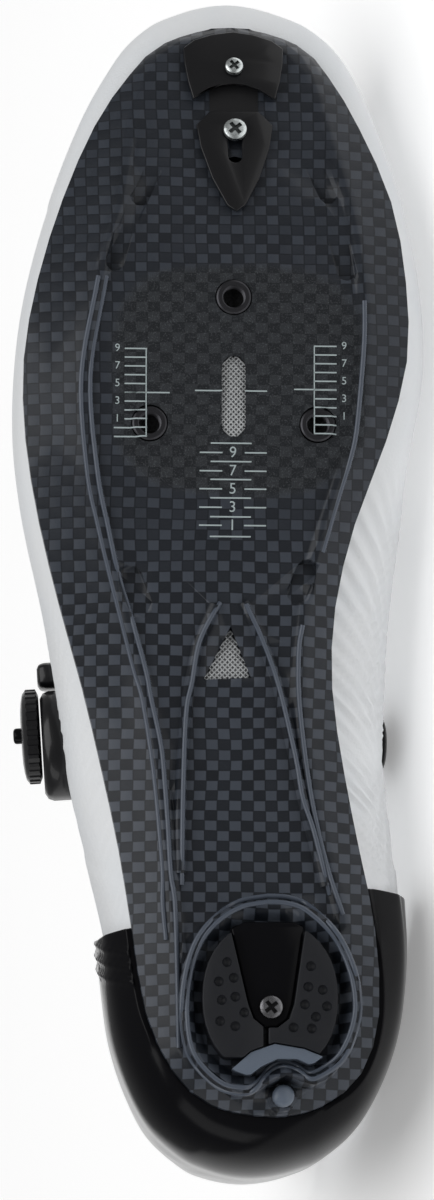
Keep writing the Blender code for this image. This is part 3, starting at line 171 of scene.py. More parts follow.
class Value:
    """A socket in a material's nodes. Sums and products with it add Math nodes."""

    def __init__(self, net, socket):
        self.net = net
        self.socket = socket

    def maths(self, operation, *values):
        return self.net.node("ShaderNodeMath", {"operation": operation}, values)

    def __add__(self, other):
        return self.maths("ADD", self, other)

    __radd__ = __add__

    def __sub__(self, other):
        return self.maths("SUBTRACT", self, other)

    def __rsub__(self, other):
        return self.maths("SUBTRACT", other, self)

    def __mul__(self, other):
        return self.maths("MULTIPLY", self, other)

    __rmul__ = __mul__

    def __truediv__(self, other):
        return self.maths("DIVIDE", self, other)

    def __pow__(self, other):
        return self.maths("POWER", self, other)

    def __abs__(self):
        return self.maths("ABSOLUTE", self)

    def sine(self):
        return self.maths("SINE", self)

    def floor(self):
        return self.maths("FLOOR", self)

    def fraction(self):
        return self.maths("FRACT", self)

    def above(self, limit):
        return self.maths("GREATER_THAN", self, limit)

    def least(self, other):
        return self.maths("MINIMUM", self, other)

    def ease(self, low, high):
        kind = {"interpolation_type": "SMOOTHSTEP"}
        return self.net.node("ShaderNodeMapRange", kind, {"Value": self, "From Min": low, "From Max": high})


class Net:
    """A material's nodes. Its shader's own sockets take the numbers that are the same all over."""

    def __init__(self, name):
        self.material = bpy.data.materials.new(name)
        self.material.use_nodes = True
        self.tree = self.material.node_tree
        self.shader = self.tree.nodes["Principled BSDF"]

    def node(self, kind, choices=None, sockets=(), out=0):
        made = self.tree.nodes.new(kind)
        for name, choice in (choices or {}).items():
            setattr(made, name, choice)
        for key, value in sockets.items() if isinstance(sockets, dict) else enumerate(sockets):
            if isinstance(value, Value):
                self.tree.links.new(value.socket, made.inputs[key])
            else:
                made.inputs[key].default_value = value
        return Value(self, made.outputs[out])

    def place(self):
        """The standing shoe's coordinates, in millimetres."""
        coordinates = self.node("ShaderNodeTexCoord", out="Object")
        sockets = {
            "Vector": coordinates,
            "Location": SHOE.to_translation(),
            "Rotation": SHOE.to_euler(),
            "Scale": (MM, MM, MM),
        }
        return self.node("ShaderNodeMapping", {"vector_type": "TEXTURE"}, sockets)

    def parts(self, vector):
        apart = self.tree.nodes.new("ShaderNodeSeparateXYZ")
        self.tree.links.new(vector.socket, apart.inputs[0])
        return [Value(self, apart.outputs[i]) for i in range(3)]

    def join(self, x, y, z=0.0):
        return self.node("ShaderNodeCombineXYZ", None, (x, y, z))

    def noise(self, place, scale, detail=2.0, roughness=0.5):
        sockets = {"Vector": place, "Scale": scale, "Detail": detail, "Roughness": roughness}
        return self.node("ShaderNodeTexNoise", None, sockets)

    def cells(self, place, scale):
        return self.node("ShaderNodeTexVoronoi", None, {"Vector": place, "Scale": scale})

    def blend(self, mask, low, high):
        """A colour between two, by a mask."""
        colours = [value if isinstance(value, Value) else (*value, 1) for value in (low, high)]
        sockets = {0: mask, 6: colours[0], 7: colours[1]}
        return self.node("ShaderNodeMix", {"data_type": "RGBA"}, sockets, out=2)

    def bump(self, height, distance, under=None, strength=1.0):
        sockets = {"Strength": strength, "Distance": distance, "Height": height}
        if under:
            sockets["Normal"] = under
        return self.node("ShaderNodeBump", None, sockets)

    def surface(self, **sockets):
        """Set the shader's sockets: links for what varies, plain values for what doesn't."""
        for key, value in sockets.items():
            socket = self.shader.inputs[key.replace("_", " ")]
            if isinstance(value, Value):
                self.tree.links.new(value.socket, socket)
            elif hasattr(value, "__len__"):
                socket.default_value = (*value, 1)
            else:
                socket.default_value = value
        return self.material


def carbon(name):
    """Clear-coated plain weave with painted sheen on its lighter squares and painted shade on its darker
    ones, and a rough grip patch round the cleat inserts.
    """
    sizes, colours, _ = settings()
    net = Net(name)
    place = net.place()
    x, y, z = net.parts(place)
    wander = net.noise(place, 0.05, 1.0)
    u = (x + wander * 1.6) / (sizes.weave / MM)
    v = (y + wander * 1.2) / (sizes.weave / MM * 0.86)
    check = ((u.floor() + v.floor()) * 0.5).fraction().above(0.25)
    across, along = u.fraction() - 0.5, v.fraction() - 0.5
    round_x, round_y = 1 - across * across * 4, 1 - along * along * 4
    tow = check * (round_x - round_y) + round_y
    gap = (round_x.least(round_y)).ease(0.0, 0.35)
    fibre = net.noise(net.join(x * 12, y * 0.8), 1.0, 3.0)
    fibre_across = net.noise(net.join(x * 0.8, y * 12), 1.0, 3.0)
    strands = check * (fibre - fibre_across) + fibre_across
    patch_x, patch_y = (x + 5.5) / 31.5, (y - 187) / 28.5
    patch = 1 - ((abs(patch_x) ** 3) + (abs(patch_y) ** 3.5) + (wander - 0.5) * 0.3).ease(0.70, 1.05)
    forward = y.ease(125, 160)
    square = {"Vector": net.join(u.floor(), v.floor())}
    light = net.node("ShaderNodeTexWhiteNoise", {"noise_dimensions": "2D"}, square)
    # Painted sheen and shade: the checker's squares are lighter or darker as the tows along and across the
    # shoe would catch the light, less so towards the toe
    tone = check * (0.80 - forward * 0.48) + light * 0.20 + strands * 0.25 + forward * 0.10
    tone = tone * (gap * 0.7 + 0.3)
    weave_colour = net.blend(tone.ease(0.05, 1.15), colours.carbon_shaded_squares, colours.carbon_lit_squares)
    grit = net.noise(place, 2.6, 3.0, 0.7)
    speck = grit.ease(0.50, 0.72)
    grit_colour = net.blend(speck * 0.8 + check * 0.2, (0.016, 0.018, 0.021), (0.085, 0.092, 0.100))
    scuff = net.noise(net.join(x * 0.35, y * 1.6, z * 0.4), 1.0, 4.0, 0.62).ease(0.60, 0.78)
    colour = net.blend(patch * 0.9, weave_colour, grit_colour)
    weave_bump = net.bump(tow * 0.7 + strands * 0.3, 0.00012)
    coat_wave = net.bump(net.noise(place, 0.35, 1.0), 0.0004, weave_bump, 0.25)
    grit_bump = net.bump(grit * patch, 0.0006, coat_wave, 0.8)
    return net.surface(
        Base_Color=colour,
        Roughness=0.42 + patch * 0.30 + scuff * 0.08 + (1 - check) * 0.08,
        Normal=grit_bump,
        Coat_Weight=(1 - patch) * 0.22,
        Coat_Roughness=0.12,
        Specular_IOR_Level=0.22,
    )


def coated_white(name):
    """Smooth coated synthetic, with a fine leather-like grain and faint dulling."""
    _, colours, _ = settings()
    net = Net(name)
    place = net.place()
    z = net.parts(place)[2]
    grain = net.cells(place, 1.5)
    fine = net.noise(place, 4.0, 3.0)
    cloud = net.noise(place, 0.06, 2.0).ease(0.35, 0.75)
    low = z.ease(16, 2)
    dust = (net.noise(place, 0.4, 4.0, 0.65).ease(0.56, 0.75)) * low
    warm = net.blend(cloud, colours.upper, tuple(c * f for c, f in zip(colours.upper, (0.965, 0.975, 0.985))))
    colour = net.blend(dust * 0.35, warm, (0.62, 0.62, 0.60))
    return net.surface(
        Base_Color=colour,
        Roughness=0.40 + cloud * 0.10 + dust * 0.2,
        Normal=net.bump(grain * 0.7 + fine * 0.3, 0.00006, net.bump(cloud, 0.0003, strength=0.3)),
        Coat_Weight=0.08,
        Coat_Roughness=0.35,
    )


def knit(name, colour, pitch, dip_shade=0.5, roughness=0.92):
    """A knitted or woven cloth: rows of small loops, with painted shade in the dips between them."""
    net = Net(name)
    place = net.place()
    x, y, z = net.parts(place)
    side = x + z
    row = (y / pitch).floor()
    loop = ((side / pitch + row * 0.5) * 2 * pi).sine() * 0.5 + 0.5
    strand = ((y / pitch) * 2 * pi).sine() * 0.5 + 0.5
    height = loop * 0.6 + strand * 0.4
    fuzz = net.noise(place, 3.0, 3.0, 0.7)
    # Painted shade: the cloth is darker where its loops dip, with random fuzz on top
    dark = tuple(c * (1 - dip_shade) for c in colour)
    return net.surface(
        Base_Color=net.blend((height * 0.75 + fuzz * 0.4).ease(0.1, 1.0), dark, colour),
        Roughness=roughness - fuzz * 0.12,
        Normal=net.bump(height * 0.8 + fuzz * 0.3, 0.00022),
        Sheen_Weight=0.35,
        Sheen_Roughness=0.5,
    )


def moulded(name, colour, roughness, coat=0.0, grain=0.00003, metallic=0.0, wear=0.12, shine=0.25):
    """Moulded plastic, rubber or plated metal, with a fine surface, faint flow marks and rubbed spots."""
    net = Net(name)
    place = net.place()
    x, y, z = net.parts(place)
    fine = net.noise(place, 5.0, 3.0, 0.6)
    flow = net.noise(net.join(x * 0.25, y * 0.08, z * 0.25), 1.0, 2.0)
    scratch = net.noise(net.join(x * 3.0, y * 0.35, z * 1.2), 1.0, 5.0, 0.7).ease(0.60, 0.80)
    lighter = tuple(min(c * 1.5 + 0.006, 1) for c in colour)
    return net.surface(
        Base_Color=net.blend((scratch * wear + (flow - 0.5) * 0.5).ease(0.0, 1.0), colour, lighter),
        Roughness=roughness + (fine - 0.5) * 0.08 + scratch * wear,
        Metallic=metallic,
        Normal=net.bump(fine, grain),
        Coat_Weight=coat,
        Coat_Roughness=0.05,
        Specular_IOR_Level=0.5 if metallic else shine,
    )


def turned_steel(name, colour, centre, axis, recess):
    """Plated steel with the rings that turning leaves, and painted shade that makes it near black inside a
    recess of the given radius.
    """
    net = Net(name)
    place = net.node("ShaderNodeTexCoord", out="Object")
    kind = "ShaderNodeVectorMath"
    offset = net.node(kind, {"operation": "SUBTRACT"}, (place, tuple(centre)))
    outward = net.node(kind, {"operation": "CROSS_PRODUCT"}, (offset, tuple(axis)))
    reach = net.node(kind, {"operation": "LENGTH"}, (outward,), out="Value")
    rings = (reach * (2 * pi / 0.00018)).sine() * 0.5 + 0.5
    grime = net.noise(place, 900.0, 3.0).ease(0.45, 0.75)
    dull = tuple(c * 0.45 for c in colour)
    depth = net.node(kind, {"operation": "DOT_PRODUCT"}, (offset, tuple(axis)), out="Value") * -1
    # Painted shade: the surface below the head's top and within the recess is painted near black
    recess_shade = depth.ease(0.0001, 0.0003) * (1 - reach.ease(recess, recess * 1.05))
    return net.surface(
        Base_Color=net.blend(recess_shade, net.blend(grime * 0.5, colour, dull), tuple(c * 0.10 for c in colour)),
        Roughness=0.26 + grime * 0.2,
        Metallic=1.0,
        Normal=net.bump(rings, 0.00001),
    )


# Each finish: what makes it, its colour or the name of the colour setting, and the rest that its maker takes
FINISHES = {
    "carbon weave": (carbon,),
    "white synthetic": (coated_white,),
    "lining knit": (knit, "lining", 0.9),
    "insole cloth": (knit, (0.032, 0.033, 0.036), 1.2),
    "tongue cloth": (knit, (0.040, 0.041, 0.044), 1.6, 0.65),
    "vent strand": (knit, "mesh", 0.4, 0.2, 0.7),
    "vent cloth": (knit, (0.30, 0.31, 0.32), 0.5, 0.5),
    "white thread": (knit, (0.70, 0.71, 0.72), 0.3, 0.35, 0.8),
    "gloss black": (moulded, (0.004, 0.004, 0.005), 0.14, 0.0, 0.00001, 0.0, 0.05, 0.10),
    "satin black": (moulded, (0.007, 0.007, 0.008), 0.30, 0.25, 0.00002),
    "matt black": (moulded, (0.009, 0.009, 0.010), 0.50, 0.0, 0.00005),
    "pad rubber": (moulded, (0.011, 0.012, 0.015), 0.50, 0.0, 0.00006),
    # Painted highlight: the raised lines' blue grey, lighter than the carbon, stands in for glints on the
    # rails' raised edges
    "rim gloss": (moulded, (0.072, 0.086, 0.112), 0.24, 0.3, 0.00001, 0.0, 0.06),
    "blue grey": (moulded, (0.115, 0.140, 0.180), 0.34, 0.2, 0.00003),
    "print": (moulded, "marks", 0.55, 0.0, 0.00002, 0.0, 0.3),
    "dark steel": (moulded, (0.050, 0.050, 0.055), 0.38, 0.0, 0.00002, 1.0),
    "wire": (moulded, (0.035, 0.035, 0.038), 0.42, 0.0, 0.00004, 0.2),
}


def material(name):
    """A finish by its name, made once."""
    if name not in bpy.data.materials:
        make, *choices = FINISHES[name]
        if choices and isinstance(choices[0], str):
            choices[0] = tuple(getattr(settings()[1], choices[0]))
        make(name, *choices)
    return bpy.data.materials[name]


# Meshes


def node_mesh(name):
    """A CAD node's mesh as a bmesh, with its loose triangles merged."""
    bm = bmesh.new()
    bm.from_mesh(frame["nodes"][name].data)
    bmesh.ops.remove_doubles(bm, verts=bm.verts, dist=2e-6)
    return bm


def add(name, bm, finish, replaced=(), body=BODY, smooth=35, shade=True):
    """Make a piece of a bmesh: it rides on a body, stands for CAD nodes and takes a material slot."""
    mesh = bpy.data.meshes.new(name)
    bm.to_mesh(mesh)
    bm.free()
    thing = bpy.data.objects.new(name, mesh)
    bpy.context.scene.collection.objects.link(thing)
    mesh.materials.append(material(finish) if isinstance(finish, str) else finish)
    if shade:
        shaded(thing, smooth)
    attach(thing, body)
    if replaced:
        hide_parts(*replaced)
    return thing


def shaded(thing, angle):
    """Smooth shading, but for edges sharper than an angle in degrees."""
    thing.data.shade_smooth()
    thing.data.set_sharp_from_angle(angle=radians(angle))


def subdivided(thing, levels):
    change = thing.modifiers.new("subdivide", "SUBSURF")
    change.levels = change.render_levels = levels


def quads_from_triangles(bm):
    wide = radians(60)
    bmesh.ops.join_triangles(bm, faces=bm.faces, angle_face_threshold=wide, angle_shape_threshold=wide)


def through_corners(thing, levels, rounds=4):
    """Subdivide a piece so that its smooth surface still passes through its own corners."""
    goals = [v.co.copy() for v in thing.data.vertices]
    subdivided(thing, levels)
    graph = bpy.context.evaluated_depsgraph_get()
    for _ in range(rounds):
        graph.update()
        smooth = thing.evaluated_get(graph).data
        moves = [goal - smooth.vertices[i].co for i, goal in enumerate(goals)]
        for v, move in zip(thing.data.vertices, moves):
            v.co += move
        thing.data.update()
    graph.update()
    return applied(thing)


def applied(thing):
    """Bake a piece's modifiers into its mesh."""
    graph = bpy.context.evaluated_depsgraph_get()
    mesh = bpy.data.meshes.new_from_object(thing.evaluated_get(graph))
    thing.modifiers.clear()
    thing.data = mesh
    return thing


def cut_out(thing, cutter, angle):
    """Cut a bmesh's shape out of a piece, and shade it again."""
    tool = bpy.data.objects.new("tool", bpy.data.meshes.new("tool"))
    cutter.to_mesh(tool.data)
    cutter.free()
    bpy.context.scene.collection.objects.link(tool)
    cut = thing.modifiers.new("cut", "BOOLEAN")
    cut.operation = "DIFFERENCE"
    cut.object = tool
    applied(thing)
    bpy.data.objects.remove(tool, do_unlink=True)
    shaded(thing, angle)


def tree_of(name):
    bm = node_mesh(name)
    tree = BVHTree.FromBMesh(bm)
    bm.free()
    return tree


def ray_on(tree, point, direction):
    """Where a ray in the standing shoe's axes meets a CAD node, in those axes."""
    place = tree.ray_cast(SHOE @ Vector(point), SHOE.to_3x3() @ Vector(direction))[0]
    return STAND @ place if place else None


def standing(bm):
    """Take a bmesh that was modelled in the standing shoe's axes into the row's frame."""
    bmesh.ops.transform(bm, matrix=SHOE, verts=bm.verts)
    return bm


def spun(profile, steps, centre, axis):
    """A turned shape from (radius, height) pairs, on an axis in the row's frame."""
    bm = bmesh.new()
    verts = [bm.verts.new((radius, 0, height)) for radius, height in profile]
    edges = [bm.edges.new(pair) for pair in zip(verts, verts[1:])]
    bmesh.ops.spin(
        bm, geom=verts + edges, cent=(0, 0, 0), axis=(0, 0, 1), angle=2 * pi, steps=steps, use_merge=True
    )
    bmesh.ops.remove_doubles(bm, verts=bm.verts, dist=1e-6)
    bmesh.ops.recalc_face_normals(bm, faces=bm.faces)
    bmesh.ops.transform(bm, matrix=framed(centre, axis), verts=bm.verts)
    return bm


def framed(point, axis, along=(0, 1, 0)):
    """A matrix at a point, with Z along an axis and Y as near as can be to another direction."""
    z = Vector(axis).normalized()
    x = Vector(along).cross(z).normalized()
    return Matrix.Translation(point) @ Matrix((x, z.cross(x), z)).transposed().to_4x4()


def centre_of(name):
    low, high = (Vector(corner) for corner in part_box(name))
    return (low + high) / 2


def reach_along(name, axis):
    """The mean of a CAD node's corners, and the lowest and highest that they reach along an axis."""
    points = [v.co for v in frame["nodes"][name].data.vertices]
    heights = [point.dot(axis) for point in points]
    return sum(points, Vector()) / len(points), min(heights), max(heights)


def at_height(point, axis, height):
    """A point, moved along an axis to a height on it."""
    return point + axis * (height - point.dot(axis))


def outward_axis(name):
    """The direction in which a turned node's largest face points."""
    bm = node_mesh(name)
    axis = max(bm.faces, key=lambda face: face.calc_area()).normal.copy()
    bm.free()
    return axis


def bmesh_of(curve):
    """A curve's or text's shape."""
    source = bpy.data.objects.new("source", curve)
    bpy.context.scene.collection.objects.link(source)
    graph = bpy.context.evaluated_depsgraph_get()
    graph.update()
    bm = bmesh.new()
    bm.from_mesh(bpy.data.meshes.new_from_object(source.evaluated_get(graph)))
    bpy.data.objects.remove(source, do_unlink=True)
    return bm


def absorb(bm, other):
    """Add another bmesh to this one."""
    mesh = bpy.data.meshes.new("part")
    other.to_mesh(mesh)
    other.free()
    bm.from_mesh(mesh)
    bpy.data.meshes.remove(mesh)


# Upper


def split_sides(bm, keep_outer):
    """Keep only the upper's outer faces with its edges, or only its inner faces."""
    doomed = []
    for face in bm.faces:
        point = STAND @ face.calc_center_median()
        normal = STAND.to_3x3() @ face.normal
        across = lerp(-0.012, -0.004, ease(0.05, 0.2, point.y))
        middle = Vector((across, min(max(point.y, 0.035), 0.245), 0.030))
        if (normal.dot(point - middle) > 0) != keep_outer:
            doomed.append(face)
    bmesh.ops.delete(bm, geom=doomed, context="FACES")


# The upper's boundary edges above this height are its collar and throat
EDGE_FLOOR = 0.032


def top_edge(bm):
    """Points of the collar and throat edge, in the standing shoe's axes."""
    points = []
    for edge in bm.edges:
        if edge.is_boundary:
            a, b = (STAND @ v.co for v in edge.verts)
            if min(a.z, b.z) > EDGE_FLOOR:
                points += [a.lerp(b, share) for share in (0, 0.25, 0.5, 0.75)]
    return points


def nearest(points):
    tree = KDTree(len(points))
    for i, point in enumerate(points):
        tree.insert(point, i)
    tree.balance()
    return lambda point: tree.find(point)[2]


def upper_relief(point, gap, sizes):
    """Height of the upper's relief at a point of the standing shoe, given its distance from the top edge."""
    x, y, z = point
    inner_side = ease(-0.010, -0.024, x)
    outer_side = ease(0.004, 0.018, x)
    phase = (y + 1.5 * z) / sizes.rib_pitch * 2 * pi
    ridge = (0.5 + 0.5 * sin(phase)) ** 1.6
    band = ease(0.094, 0.112, y) * ease(0.172, 0.150, y) + ease(0.052, 0.070, y) * ease(0.102, 0.094, y)
    low_band = ease(0.052, 0.030, z)
    height = ridge * sizes.rib_depth * band * low_band * inner_side
    faint = ease(0.045, 0.060, y) * ease(0.150, 0.120, y) * low_band * outer_side
    height += ridge * sizes.rib_depth * 0.45 * faint
    # the throat's reinforced edge, and the padded roll of the collar
    strip = ease(0.0135, 0.0125, gap) * ease(0.095, 0.110, y)
    height += 0.00035 * strip
    collar = ease(0.115, 0.095, y)
    height += 0.0009 * collar * sin(pi * min(gap / 0.009, 1)) ** 1.2
    # the toe cap's edge and soft creases across the ball
    cap = y + 0.35 * abs(x + 0.004) - 0.2475
    height += 0.0003 * ease(-0.0006, 0.0006, cap)
    crease = ease(0.185, 0.200, y) * ease(0.235, 0.215, y) * ease(0.02, 0.04, z)
    height -= 0.0005 * crease * max(sin((y + 0.10 * sin(x * 90)) * 2 * pi / 0.0115), 0) ** 3
    quarter = (y - 0.078) - 0.45 * (z - 0.04)
    height += 0.0003 * ease(0.0006, -0.0006, quarter)
    return height


class SHOE_OT_upper(bpy.types.Operator):
    """Dress the upper: a smooth white shell with ribs, panels and creases, and a knitted lining"""

    bl_idname = "shoe.upper"
    bl_label = "Upper"

    def execute(self, context):
        sizes = context.scene.shoe_sizes
        for name, outer, finish, levels in (
            ("upper_shell", True, "white synthetic", 3),
            ("upper_lining", False, "lining knit", 2),
        ):
            bm = node_mesh("upper")
            split_sides(bm, outer)
            quads_from_triangles(bm)
            edge_points = top_edge(bm)
            thing = add(name, bm, finish, ["upper"])
            through_corners(thing, levels)
            if outer:
                gap_at = nearest(edge_points)
                mesh = thing.data
                normals = [v.normal.copy() for v in mesh.vertices]
                for v, normal in zip(mesh.vertices, normals):
                    point = STAND @ v.co
                    v.co += normal * upper_relief(point, gap_at(point), sizes)
            thing.data.shade_smooth()
        return {"FINISHED"}


# The seams' distances from the top edge, and the share of it that a point of the seam has to keep
SEAM_INSETS = (0.0030, 0.0118)
LEAST_GAP = 0.85
# The pitch in stitch lengths, the widest step that is sewn over, and how far threads stand up, in threads
STITCH_PITCH = 1.35
LONGEST_STEP = 0.003
THREAD_LIFT = 0.18


def stitched(path_points, normals, sizes):
    """A run of stitches: short rounded threads laid end to end along points on a surface."""
    bm = bmesh.new()
    total = due = 0.0
    pitch = sizes.stitch * STITCH_PITCH
    for (a, b), normal in zip(zip(path_points, path_points[1:]), normals):
        length = (b - a).length
        if length > LONGEST_STEP:
            continue
        while due <= total + length and length > 1e-9:
            share = (due - total) / length
            middle = a.lerp(b, share) + normal * sizes.thread * THREAD_LIFT
            matrix = framed(middle, normal, b - a)
            made = bmesh.ops.create_icosphere(bm, subdivisions=1, radius=0.5)
            scale = Matrix.Diagonal((sizes.thread, sizes.stitch, sizes.thread, 1))
            bmesh.ops.transform(bm, matrix=matrix @ scale, verts=made["verts"])
            due += pitch
        total += length
    return bm


class SHOE_OT_seams(bpy.types.Operator):
    """Sew the seams along the collar, the throat and the quarter"""

    bl_idname = "shoe.seams"
    bl_label = "Seams"

    def execute(self, context):
        sizes = context.scene.shoe_sizes
        bm = node_mesh("upper")
        split_sides(bm, True)
        tree = shell_tree()
        edges = [e for e in bm.edges if e.is_boundary]
        points = loop_points([e for e in edges if min((STAND @ v.co).z for v in e.verts) > EDGE_FLOOR])
        bm.free()
        runs = bmesh.new()
        for inset in SEAM_INSETS:
            path, normals = inset_path(points, inset, tree)
            absorb(runs, stitched(path, normals, sizes))
        add("seam_stitches", runs, "white thread", smooth=60)
        return {"FINISHED"}


def shell_tree():
    """The dressed upper, to lay things on."""
    bm = bmesh.new()
    bm.from_mesh(bpy.data.objects["upper_shell"].data)
    tree = BVHTree.FromBMesh(bm)
    bm.free()
    return tree


def loop_points(edges):
    """Order the corners of one closed boundary."""
    links = {}
    for edge in edges:
        a, b = edge.verts
        links.setdefault(a, []).append(b)
        links.setdefault(b, []).append(a)
    start = next(iter(links))
    ordered, previous, current = [start], None, start
    while True:
        following = [v for v in links[current] if v is not previous]
        if not following or following[0] is start:
            break
        previous, current = current, following[0]
        ordered.append(current)
        if len(ordered) > len(links):
            break
    return [v.co.copy() for v in ordered]


def curve_at(a, b, c, d, f):
    """A place on the smooth curve through four points, from the second at 0 to the third at 1."""
    return b + 0.5 * f * (c - a + f * (2 * a - 5 * b + 4 * c - d + f * (3 * (b - c) + d - a)))


def inset_path(points, inset, tree):
    """The top edge's loop, moved down the shell's outside by a distance."""
    fine = []
    count = len(points)
    for i in range(count):
        near = [points[(i + k) % count] for k in (-1, 0, 1, 2)]
        fine += [curve_at(*near, share) for share in (0, 0.25, 0.5, 0.75)]
    gap_at = nearest(fine)
    path, normals = [], []
    for i, point in enumerate(fine):
        along = (fine[(i + 1) % len(fine)] - fine[i - 1]).normalized()
        place, normal, _, _ = tree.find_nearest(point)
        side = along.cross(normal).normalized() * inset
        options = [tree.find_nearest(place + step + normal * 0.001)[:2] for step in (side, -side)]
        place, normal = max(options, key=lambda option: gap_at(option[0]))
        if gap_at(place) > inset * LEAST_GAP:
            path.append(place)
            normals.append(normal)
    return path + path[:1], normals


# Sole


class SHOE_OT_sole(bpy.types.Operator):
    """Finish the carbon sole, shaded evenly over its long faces, and the insole"""

    bl_idname = "shoe.sole"
    bl_label = "Sole"

    def execute(self, context):
        thing = add("sole_plate", node_mesh("outsole"), "carbon weave", ["outsole"], smooth=28)
        weighted = thing.modifiers.new("weighted", "WEIGHTED_NORMAL")
        weighted.mode = "FACE_AREA_WITH_ANGLE"
        weighted.weight = 50
        weighted.keep_sharp = True
        applied(thing)
        add("insole_cloth", node_mesh("insole"), "insole cloth", ["insole"], smooth=50)
        return {"FINISHED"}


# Raised lines on the sole as the camera sees them: millimetres to the right of the view's middle and up it
RAISED_LINES = {
    "outer": [
        (-28.1, 76.8), (-32.1, 53.2), (-30.7, 30.5), (-28.1, 17.5), (-25.3, 5.7), (-22.4, -5.7),
        (-19.6, -16.8), (-17.7, -23.2), (-15.8, -34.5), (-14.6, -43.9), (-13.7, -53.2), (-12.8, -64.5),
        (-12.8, -71.6), (-12.0, -80.3),
    ],
    "outer_inside": [
        (-26.2, 76.8), (-30.0, 53.2), (-28.3, 30.5), (-25.8, 17.5), (-23.2, 5.7), (-19.8, -5.7),
        (-16.8, -16.8), (-15.6, -23.2), (-13.2, -34.5), (-12.3, -43.9), (-11.6, -53.2), (-10.9, -64.5),
        (-9.9, -71.6), (-9.4, -86.5), (-9.0, -105.6),
    ],
    "inner": [
        (35.0, 70.9), (35.0, 63.8), (34.5, 55.5), (33.1, 40.6), (31.7, 33.8), (29.3, 26.0),
        (27.4, 19.6), (25.0, 11.3),
    ],
    "inner_shank": [
        (20.3, -5.9), (19.4, -11.8), (19.4, -22.7), (20.8, -36.4), (22.9, -49.8), (26.2, -63.5),
        (29.8, -74.4),
    ],
    "vee_outer": [
        (0.7, -0.7), (-2.4, -5.9), (-4.5, -11.1), (-5.9, -19.4), (-7.3, -26.7), (-8.0, -44.6),
        (-8.3, -67.3),
    ],
    "vee_inner": [
        (6.9, -0.9), (10.4, -8.5), (13.2, -15.8), (15.4, -23.2), (18.7, -37.6), (20.3, -46.8),
        (22.9, -54.6), (26.7, -69.7),
    ],
    "ring": [
        (11.8, -69.9), (5.4, -71.1), (-0.5, -74.7), (-5.0, -80.3), (-7.6, -88.6), (-8.3, -98.0),
        (-6.6, -107.5), (-0.2, -114.6), (6.1, -116.2), (9.4, -114.8), (12.3, -111.3), (15.4, -109.9),
        (19.1, -110.8), (22.2, -112.7), (25.8, -111.3), (29.8, -108.0), (32.8, -101.8), (33.8, -95.2),
        (32.4, -86.9), (28.3, -78.4), (21.7, -72.1), (16.8, -70.2), (11.8, -69.9),
    ],
}
RAISED_RADIUS = 0.0006
# The ring's inner line: its size beside the outer one's, and the middle that it shrinks to
RING_STEP = 0.94
RING_MIDDLE = (12.7, -91.0)


def seen_on_sole(points, tree):
    """Lay a line of the view on the sole, and even out its depth."""
    places = []
    for u, v in points:
        start = VIEW_MIDDLE + VIEW_RIGHT * (u * MM) + VIEW_UP * (v * MM) + VIEW_BACK * 0.1
        place = ray_on(tree, start, -VIEW_BACK)
        if place:
            places.append([start, (place - start).dot(-VIEW_BACK)])
    for _ in range(4):
        depths = [depth for _, depth in places]
        for i in range(1, len(places) - 1):
            places[i][1] = sorted(depths[i - 1:i + 2])[1] * 0.5 + (depths[i - 1] + depths[i + 1]) * 0.25
    return [SHOE @ (start - VIEW_BACK * depth) for start, depth in places]


class SHOE_OT_raised_lines(bpy.types.Operator):
    """Raise the fine double lines along the sole's rails and round the heel, in a colour lighter than the
    carbon as painted highlights
    """

    bl_idname = "shoe.raised_lines"
    bl_label = "Raised lines"

    def execute(self, context):
        tree = tree_of("outsole")
        middle = Vector(RING_MIDDLE)
        for name, points in RAISED_LINES.items():
            fine = [tuple(p)[:2] for p in smooth_path([Vector((u, v, 0)) for u, v in points], 6)]
            runs = [(name, fine)]
            if name == "ring":
                inside = [tuple(middle + (Vector(p) - middle) * RING_STEP) for p in fine]
                runs.append(("ring_inside", inside))
            for label, run in runs:
                path = seen_on_sole(run, tree)
                tube(f"raised_line_{label}", path, RAISED_RADIUS, "rim gloss", ())
        return {"FINISHED"}


# Printed marks. Places are millimetres across the standing shoe (outer side positive) and along it.
MARK_STEP = 2.1


def tick_table():
    """Each tick as (from x, to x, y)."""
    ticks = []
    for n in range(11):
        y = 193.9 - MARK_STEP * n
        ticks.append((24.4 if n > 8 else 21.9, 16.6, y))
        ticks.append((-23.0, -28.4, y + 1.0))
    ticks += [(21.9, 11.2, 183.4), (-18.3, -28.4, 184.5), (5.2, -1.2, 184.0), (-6.7, -11.9, 184.0)]
    ticks += [(1.4, -8.3, y) for y in (171.6, 167.3, 163.1, 158.8, 154.4, 149.8)]
    for y in (169.4, 165.1, 160.9, 156.6, 152.4):
        ticks += [(4.0, -1.4, y), (-6.7, -11.9, y)]
    return ticks


# Each upright as (x, from y, to y), and each column of numerals as (x, top y, step, height in metres)
UPRIGHTS = [(16.8, 193.9, 172.9), (-23.1, 194.9, 173.9)]
COLUMNS = [
    (23.6, 194.0, 2 * MARK_STEP, 0.0026),
    (-30.2, 195.0, 2 * MARK_STEP, 0.0026),
    (-3.9, 169.4, 4.25, 0.0036),
]


def on_sole(bm, tree, lift):
    """Lay flat shapes on the underside: each vertex moves along Z onto it."""
    for v in bm.verts:
        point = ray_on(tree, (v.co.x, v.co.y, -0.04), (0, 0, 1))
        v.co.z = (point.z if point else 0.0) - lift


def strip(bm, x0, y0, x1, y1, width):
    """A flat printed line between two places in millimetres."""
    start, end = Vector((x0, y0, 0)) * MM, Vector((x1, y1, 0)) * MM
    length = (end - start).length
    steps = max(2, int(length / 0.0012))
    made = bmesh.ops.create_grid(bm, x_segments=steps, y_segments=1, size=0.5)
    direction = (end - start).normalized()
    matrix = framed((start + end) / 2, (0, 0, -1), Vector((0, 0, -1)).cross(direction))
    bmesh.ops.transform(bm, matrix=matrix @ Matrix.Diagonal((length, width, 1, 1)), verts=made["verts"])


